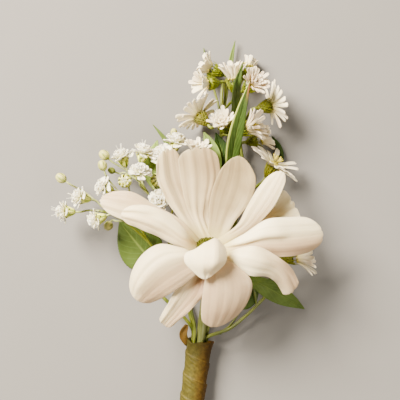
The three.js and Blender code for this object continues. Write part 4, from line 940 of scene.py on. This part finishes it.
ASTERS = {
    "left_asters": [
        dict(at=(1, 50.8, -11.6), face=(-0.88, 0.45, 0.1), reach=5.4, lift=50,
             via=[(3.4, 38, -13.6), (3.8, 46, -14)]),
        dict(at=(-0.2, 45.8, -2.4), face=(-0.85, -0.1, 0.5), reach=5.4, lift=50,
             via=[(3.4, 38, -13.6), (4.4, 42.6, -8)]),
        dict(at=(-2.6, 36.8, -10), face=(-0.6, 0.62, -0.45), reach=6.8, lift=15, count=23, warm=0.75,
             via=[(3.4, 35, -14.1), (2.4, 34.8, -10.8)]),
        dict(at=(7, 46.8, -9), face=(-0.1, 0.97, 0.2), reach=6.5, lift=62,
             via=[(3.4, 38, -13.6), (5.8, 41, -12.4)]),
        dict(at=(4.3, 34.1, -6), face=(-0.3, 0.5, 0.8), reach=5.4, lift=60, count=21, width=1.05,
             inner=16, via=[(3.4, 31.6, -14.9), (4.4, 32, -11.6)]),
        dict(at=(-3.2, 25.4, -8.6), face=(-0.1, 0.95, 0.25), reach=5.6, lift=52, mess=2.0, inner=6,
             via=[(3, 16, -16.2), (-0.4, 18.4, -13)]),
    ],
    "right_asters": [
        dict(at=(11.5, 45.4, -4.6), face=(0.55, 0.35, 0.76), reach=5.6, lift=45, count=20, width=1.15,
             inner=18, blush=0.15, via=[(9.4, 37, -15.2), (9.3, 42, -10)]),
        dict(at=(11, 51.3, -14.4), face=(0.4, 0.92, 0), reach=4.2, lift=80, count=12, inner=9,
             via=[(9.4, 40, -15.4), (8.8, 45.6, -16)]),
        dict(at=(16.8, 40, -9.5), face=(0.85, 0.2, -0.35), reach=7.2, lift=22, count=21, warm=0.5,
             via=[(9.2, 33, -15.4), (10.8, 36.8, -12)]),
        dict(at=(10.3, 33.2, -7.3), face=(0.88, 0.28, 0.38), reach=6.6, lift=48, count=20, width=1.2,
             blush=0.15, threads=12, via=[(9, 26.4, -15.2), (7.8, 29.6, -11.6)]),
        dict(at=(14, 30.5, -13.5), face=(0.95, 0.25, 0), reach=5.2, lift=58, blush=0.1, warm=0.35,
             via=[(9, 20, -14.6), (9.6, 24.6, -13.8)]),
        dict(at=(18, 22.2, -8.7), face=(0.5, 0.78, 0.3), reach=7.6, lift=12, count=21, warm=0.7,
             threads=12, via=[(8.6, 12, -13.8), (12.6, 16, -13)]),
    ],
    "low_aster": [
        dict(at=(24.1, -3.7, -8.6), face=(0.95, 0.1, 0.1), reach=7.8, lift=48, blush=0.1, warm=0.5,
             via=[(16.8, -14.6, -12.6), (18.2, -7, -10.6)]),
    ],
}


def ray_outline(u):
    past = np.clip((u - 0.78) / 0.22, 0, 1)
    grown = 0.34 + 0.66 * np.sin(np.pi / 2 * np.minimum(u / 0.7, 1))
    return grown * np.maximum(0.05, np.sqrt(1 - past ** 2.4))


def ray_grooves(u, v):
    return 0.05 * np.cos(3 * np.pi * v)


def add_ray(shape, head, turn, root, length, lift, width, sag, rng):
    """A ray of a head, from its root's distance from the axis and height, out and up."""
    rise = np.radians(lift)
    path = []
    for share in (0, 0.35, 0.7, 1):
        droop = sag * np.sin(np.pi * share)
        out = root[0] + length * share * np.cos(rise) - droop * np.sin(rise)
        up = root[1] + length * share * np.sin(rise) + droop * np.cos(rise)
        path.append(head_point(head, out, turn, up))
    facing = head_way(head, turn, -np.sin(rise), np.cos(rise))
    faces = (facing, facing + rng.uniform(-0.35, 0.35, 3))
    bend = 0.5 + rng.uniform(-0.2, 0.2, 2)
    surface = blade_surface(path, faces, width, ray_outline, bend, rise=ray_grooves,
                            notch=teeth(0.05, (-0.3, 0.25), 0.14))
    add_blade(shape, surface, *RAY_BLADE, head.get("blush", 0.0), tone=rng.uniform(0, 9))


def make_aster(number, head, stem_node):
    rng = np.random.default_rng(100 + number)
    middle = GAP + 0.3
    reach = head["reach"] - RAY_ROOT
    mess = head.get("mess", 1.0)
    count = head.get("count", 17)
    rays = Shape()
    for k in range(count):
        turn = 2 * np.pi * (k + 0.3 * mess * rng.uniform(-1, 1)) / count
        length = reach * (1.02 + 0.13 * mess * rng.uniform(-1, 1))
        lift = head["lift"] + 13 * mess * rng.uniform(-1, 1)
        width = head.get("width", 1.45) * (1 + 0.17 * rng.uniform(-1, 1))
        add_ray(rays, head, turn, (RAY_ROOT, middle + 0.12 * (k % 3)), length, lift, width, 0.3, rng)
    inner = head.get("inner", 0)
    for k in range(inner):
        share = (k + 0.5) / inner
        length = reach * (0.72 + 0.12 * rng.uniform(-1, 1))
        lift = 58 + 30 * share + 8 * rng.uniform(-1, 1)
        root = (1.1 - 0.8 * share, middle + 0.3)
        add_ray(rays, head, k * GOLDEN_TURN, root, length, lift, 1.15, 0.2, rng)
    rays.make(f"rays_of_aster_{number}", RAY, [f"aster_{number}_rays"])

    disc = Shape()
    add_turned(disc, [(0.02, 0.8), (1.4, 0.8), (1.2, 1.5), (0.7, 1.8), (0.02, 1.9)], 18, head)
    add_florets(disc, head, 34, ASTER_DISC_RADIUS * 0.9, PLATE_TOP, 0.7, 0.34)
    for k in range(head.get("threads", 0)):
        turn = k * GOLDEN_TURN
        lean = rng.uniform(0.3, 1.3)
        path = [head_point(head, 0.6 + lean * s ** 1.5, turn + 0.4 * s, 1.6 + 2.2 * s)
                for s in (0, 0.4, 0.75, 1)]
        add_rod(disc, path, 0.09, 0.13, sides=5, steps=7)
    disc.make(f"disc_of_aster_{number}", ASTER_DISC, [f"aster_{number}_disc"])

    cup = Shape()
    warm = head.get("warm", 0.0)
    body = [(0.02, -ASTER_CUP - 0.1), (0.5, -ASTER_CUP), (1.2, -2.2), (1.6, -1), (1.8, -0.1), (0.02, 0)]
    add_turned(cup, body, 16, head, tone=warm)
    for ring, (low, out) in enumerate([(3.5, 0.6), (2.9, 1.0), (2.2, 1.35), (1.4, 1.6)]):
        for k in range(SPINES):
            turn = 2 * np.pi * (k + 0.5 * (ring % 2) + 0.2 * rng.uniform(-1, 1)) / SPINES
            tip = rng.uniform(0.5, 1.0)
            tone = np.clip(warm + 0.18 * rng.uniform(-1, 1), 0, 1)
            side = ((out, -low), (out + 0.4, -low + 1), (out + 0.3 + 0.5 * tip, -low + 1.7 + tip))
            add_bract(cup, head, turn, side, 0.62, spine_outline, SPINE_BLADE, (-0.2, -0.2), tone=tone)
    cup.make(f"cup_of_aster_{number}", CUP, [stem_node])


# Baby's breath. at is the top of a bloom's calyx, or the middle of a bud, and via the way of its
# stalk. A bloom has count petals, as long as petals says against the usual, and threads stamens.
# A closed one is still held in by its sepals. green is how green a bud is.

OPEN_SEPAL = ((1.3, -0.9), (1.9, 0.35), (1.9, 0.85))  # its distance from the axis and height
CLOSED_SEPAL = ((1.2, -0.9), (1.95, 0.5), (1.65, 1.9), (0.4, 2.6))
BREATH_BLOOMS = [
    dict(at=(-41, 9.5, -8), face=(-1, 0, 0.1), via=[(-31.6, 9.8, -8.4), (-35, 9.9, -9.4)], threads=4),
    dict(at=(-36.4, 13.5, -7.4), face=(-0.93, 0.2, 0.3), via=[(-28.6, 9, -9), (-31.6, 11.6, -8.8)],
         threads=4),
    dict(at=(-29.8, 16.3, -8.2), face=(-0.85, 0.3, 0.4), via=[(-22, 10.4, -10), (-25, 14, -9.8)]),
    dict(at=(-31.7, 7.6, -5.2), face=(-0.92, -0.33, 0.15), via=[(-24.6, 6.8, -9.2), (-27.2, 8.2, -7.2)]),
    dict(at=(-25, 24.6, -9.4), face=(-0.35, 0.9, 0.2), via=[(-19, 16.4, -11.4), (-22.4, 20.4, -11.4)],
         threads=4),
    dict(at=(-19.4, 25.7, -8.6), face=(0.2, 0.93, 0.25), via=[(-19, 16.4, -11.4), (-20.4, 20.6, -11)],
         threads=3, petals=1.12),
    dict(at=(-20, 20.2, -5), face=(0, 0.75, 0.6), via=[(-17.6, 14.4, -11.2), (-19.6, 16.4, -9.8)]),
    dict(at=(-24.2, 18.2, -8.6), face=(-0.2, 0.2, 0.95), via=[(-22, 10.4, -10), (-23.4, 16, -11)],
         count=12, petals=0.5, closed=True),
    dict(at=(-15.4, 18.4, -9.2), face=(0.3, 0.3, 0.9), via=[(-15.6, 10.4, -11.2), (-15.7, 15, -11.9)],
         count=12, petals=0.5, closed=True),
    dict(at=(-10, 28.9, -10.8), face=(0.2, 0.9, 0.3), via=[(-10.4, 14, -12.6), (-10.2, 22, -12.4)],
         petals=1.15),
    dict(at=(-13.1, 25.2, -8.7), face=(-0.6, 0.4, 0.7), via=[(-10.2, 22, -12.4), (-10.6, 23.4, -11.4)],
         petals=1.12),
    dict(at=(-14.4, 12.8, -6.4), face=(0, 0.1, 1), via=[(-12.4, 5, -11), (-14.2, 10.6, -11.4)]),
]
BREATH_BUDS = [
    dict(at=(-42.9, 19.3, -8.4), face=(-0.8, 0.55, 0), size=1.6,
         via=[(-31.6, 11.6, -8.8), (-36.4, 15.2, -11.8)]),
    dict(at=(-30.6, 26, -10), face=(-0.75, 0.65, 0.1), size=1.6,
         via=[(-22.4, 20.4, -11.4), (-26, 22.6, -11)]),
    dict(at=(-30.9, 23, -8.4), face=(-0.3, 0.9, 0.1), size=1.5, via=[(-25, 14, -9.8), (-28.8, 18, -12.2)]),
    dict(at=(-28.6, 21.5, -11.4), face=(-0.8, 0.3, 0.4), size=1.1,
         via=[(-20.4, 18.4, -11.4), (-24.6, 20.8, -12)], green=0.8),
    dict(at=(-29.3, 5.4, -9), face=(-0.3, -0.5, 0.8), size=1.5,
         via=[(-24.6, 6.8, -9.2), (-26.8, 6.8, -9.2)]),
    dict(at=(-10.4, 32.8, -12.4), face=(0, 0.8, 0.6), size=1.1, via=[(-10.2, 22, -12.4), (-11, 28, -14.8)]),
]


def frill_outline(u):
    past = np.clip((u - 0.75) / 0.25, 0, 1)
    return (0.3 + 0.7 * np.minimum(u / 0.75, 1) ** 1.2) * np.maximum(0.08, np.sqrt(1 - past ** 3))


def ruffle(phase):
    def rise(u, v):
        return u ** 2 * (0.16 * np.sin(3 * np.pi * v + phase) + 0.08 * np.sin(5 * v + 4 * u))
    return rise


def make_bloom(number, bloom):
    rng = np.random.default_rng(300 + number)
    petals = Shape()
    count = bloom.get("count", 22)
    size = bloom.get("petals", 1.0)
    for k in range(count):
        share = (k + 0.5) / count
        turn = k * GOLDEN_TURN + rng.uniform(-0.2, 0.2)
        lift = np.radians(-6 + 94 * share ** 0.8 + rng.uniform(-8, 8))
        length = size * (3.1 * (1 - 0.1 * share) + rng.uniform(-0.25, 0.25))
        path = []
        for s in (0, 0.5, 1):
            out = 0.5 * (1 - share) + length * s * np.cos(lift)
            up = 0.4 + 0.35 * share + length * s * np.sin(lift) - 0.3 * s * s
            path.append(head_point(bloom, out, turn, up))
        rise = ruffle(rng.uniform(0, 6))
        facing = head_way(bloom, turn, -np.sin(lift), np.cos(lift))
        faces = (facing, facing + rng.uniform(-0.5, 0.5, 3))
        surface = blade_surface(path, faces, size * rng.uniform(2.3, 2.9), frill_outline, (0.45, 0.45),
                                rise=rise, notch=teeth(0.12, (-0.4, 0.02, 0.42), 0.12, 0.6))
        add_blade(petals, surface, *FRILL_BLADE, tone=rng.uniform(0, 9))
    petals.make(f"breath_flower_{number}", FRILL, [f"babys_breath_bloom_{number}"])

    calyx = Shape()
    foot = [(0.02, -2.5), (0.5, -2.35), (1.0, -1.7), (1.35, -0.9), (1.55, 0), (0.02, 0.1)]
    add_turned(calyx, foot, 30, bloom, wave=0.07)
    sepals, side = (8, CLOSED_SEPAL) if bloom.get("closed") else (5, OPEN_SEPAL)
    for k in range(sepals):
        turn = 2 * np.pi * (k + 0.5) / sepals
        add_bract(calyx, bloom, turn, side, 1.5, bract_outline, SEPAL_BLADE, bend=-0.6)
    calyx.make(f"breath_calyx_{number}", CALYX, [SPRAYS["baby_breath"]["node"]])

    if "threads" in bloom:
        threads = Shape()
        for k in range(bloom["threads"]):
            turn = rng.uniform(0, 2 * np.pi)
            spread = rng.uniform(0.4, 1.6)
            path = [head_point(bloom, spread * s, turn, 1.4 + 3.0 * s) for s in (0, 0.5, 1)]
            add_rod(threads, path, 0.06, 0.05, sides=5, steps=6)
            add_turned(threads, [(0.02, -0.14), (0.11, 0), (0.02, 0.14)], 6, {**bloom, "at": path[-1]})
        threads.make(f"breath_threads_{number}", FRILL, [f"babys_breath_bloom_{number}"])


def make_bud(number, bud):
    shape = Shape()
    size = bud["size"]
    green = bud.get("green", 0.0)
    profile = [(max(0.02, 0.86 * size * np.sin(t) ** 0.9), size * (-0.1 - 1.05 * np.cos(t)))
               for t in np.linspace(0, np.pi, 15)]
    add_turned(shape, profile, 30, bud, wave=0.035, tone=green)
    side = [(0.35 * size, -1.02 * size), (0.8 * size, -0.5 * size), (0.9 * size, 0.15 * size)]
    for k in range(5):
        turn = 2 * np.pi * (k + 0.5) / 5
        add_bract(shape, bud, turn, side, 0.75 * size, bract_outline, BUD_BLADE, tone=green)
    shape.make(f"breath_bud_{number}", BUD, [SPRAYS["baby_breath"]["node"]])


def stalk_path(head, depth):
    way = unit(np.asarray(head["face"], float))
    at = np.asarray(head["at"], float)
    return [*head["via"], at - way * (depth + 1.6), at - way * (depth - 0.4)]


def make_stems():
    rng = np.random.default_rng(21)
    for name, spray in SPRAYS.items():
        shape = Shape()
        fine = name == "baby_breath"
        end, fork = (0.36, 0.4) if fine else (0.44, 0.36)
        path = [*bundled(spray["slot"]), *spray["stem"]]
        add_rod(shape, path, THIN_STEM, end, sides=14, steps=80, tone=rng.uniform(0, 5))
        for twig in spray["twigs"]:
            add_rod(shape, twig, fork, 0.32, sides=10, steps=30, tone=rng.uniform(0, 5))
        for head in ASTERS.get(name, []):
            add_rod(shape, stalk_path(head, ASTER_CUP), 0.4, 0.45, tone=rng.uniform(0, 5))
        shape.make(f"stalks_of_{name}", STEM, [spray["node"]])
        if fine:
            twigs = Shape()
            for bloom in BREATH_BLOOMS:
                add_rod(twigs, stalk_path(bloom, BREATH_CUP), 0.28, 0.3, sides=8, steps=20)
            for bud in BREATH_BUDS:
                add_rod(twigs, stalk_path(bud, bud["size"] * 1.1), 0.24, 0.26, sides=8, steps=20)
            twigs.make(f"twigs_of_{name}", TWIG, [spray["node"]])


make_daisy_petals()
make_daisy_disc()
make_daisy_stem()
make_tape()
leaf_rng = np.random.default_rng(3)
for spray, leaves in LEAVES.items():
    for name, leaf in leaves.items():
        make_leaf(name, leaf, SPRAYS[spray]["node"], leaf_rng)
asters = [(head, SPRAYS[spray]["node"]) for spray, heads in ASTERS.items() for head in heads]
for number, (head, node) in enumerate(asters, start=1):
    make_aster(number, head, node)
for number, bloom in enumerate(BREATH_BLOOMS, start=1):
    make_bloom(number, bloom)
for number, bud in enumerate(BREATH_BUDS, start=1):
    make_bud(number, bud)
make_stems()


# The floor, the lights and the camera

def make_floor():
    half = FLOOR_WIDTH / 2 * MM
    mesh = bpy.data.meshes.new("floor")
    corners = [(-half, -half, 0), (half, -half, 0), (half, half, 0), (-half, half, 0)]
    mesh.from_pydata(corners, [], [(0, 1, 2, 3)])
    mesh.materials.append(floor_look())
    floor = placed("floor", mesh)


def make_light(name, at, size, power, color):
    light = bpy.data.lights.new(name, "AREA")
    light.shape = "DISK"
    light.size = size
    light.energy = power
    light.color = color
    lamp = placed(name, light)
    lamp.location = at
    lamp.rotation_mode = "QUATERNION"
    lamp.rotation_quaternion = (-Vector(at)).to_track_quat("-Z", "Y")


def make_camera():
    data = bpy.data.cameras.new("camera")
    data.sensor_width = SENSOR
    data.lens = SENSOR * EYE[2] / VIEW_WIDTH
    data.clip_start = 0.01
    camera = placed("camera", data)
    camera.location = Vector((EYE + DISC_AT) * MM)
    bpy.context.scene.camera = camera


def make_world():
    world = bpy.data.worlds.new("studio")
    world.use_nodes = True
    background = world.node_tree.nodes["Background"]
    background.inputs["Color"].default_value = (1.0, 0.97, 0.90, 1)
    background.inputs["Strength"].default_value = 0.22
    bpy.context.scene.world = world


make_floor()
make_light("key", (-0.34, 0.34, 0.42), 0.34, 34.0, (1.0, 0.89, 0.73))
make_light("fill", (0.30, -0.30, 0.50), 0.40, 3.0, (1.0, 0.90, 0.76))
make_world()
make_camera()
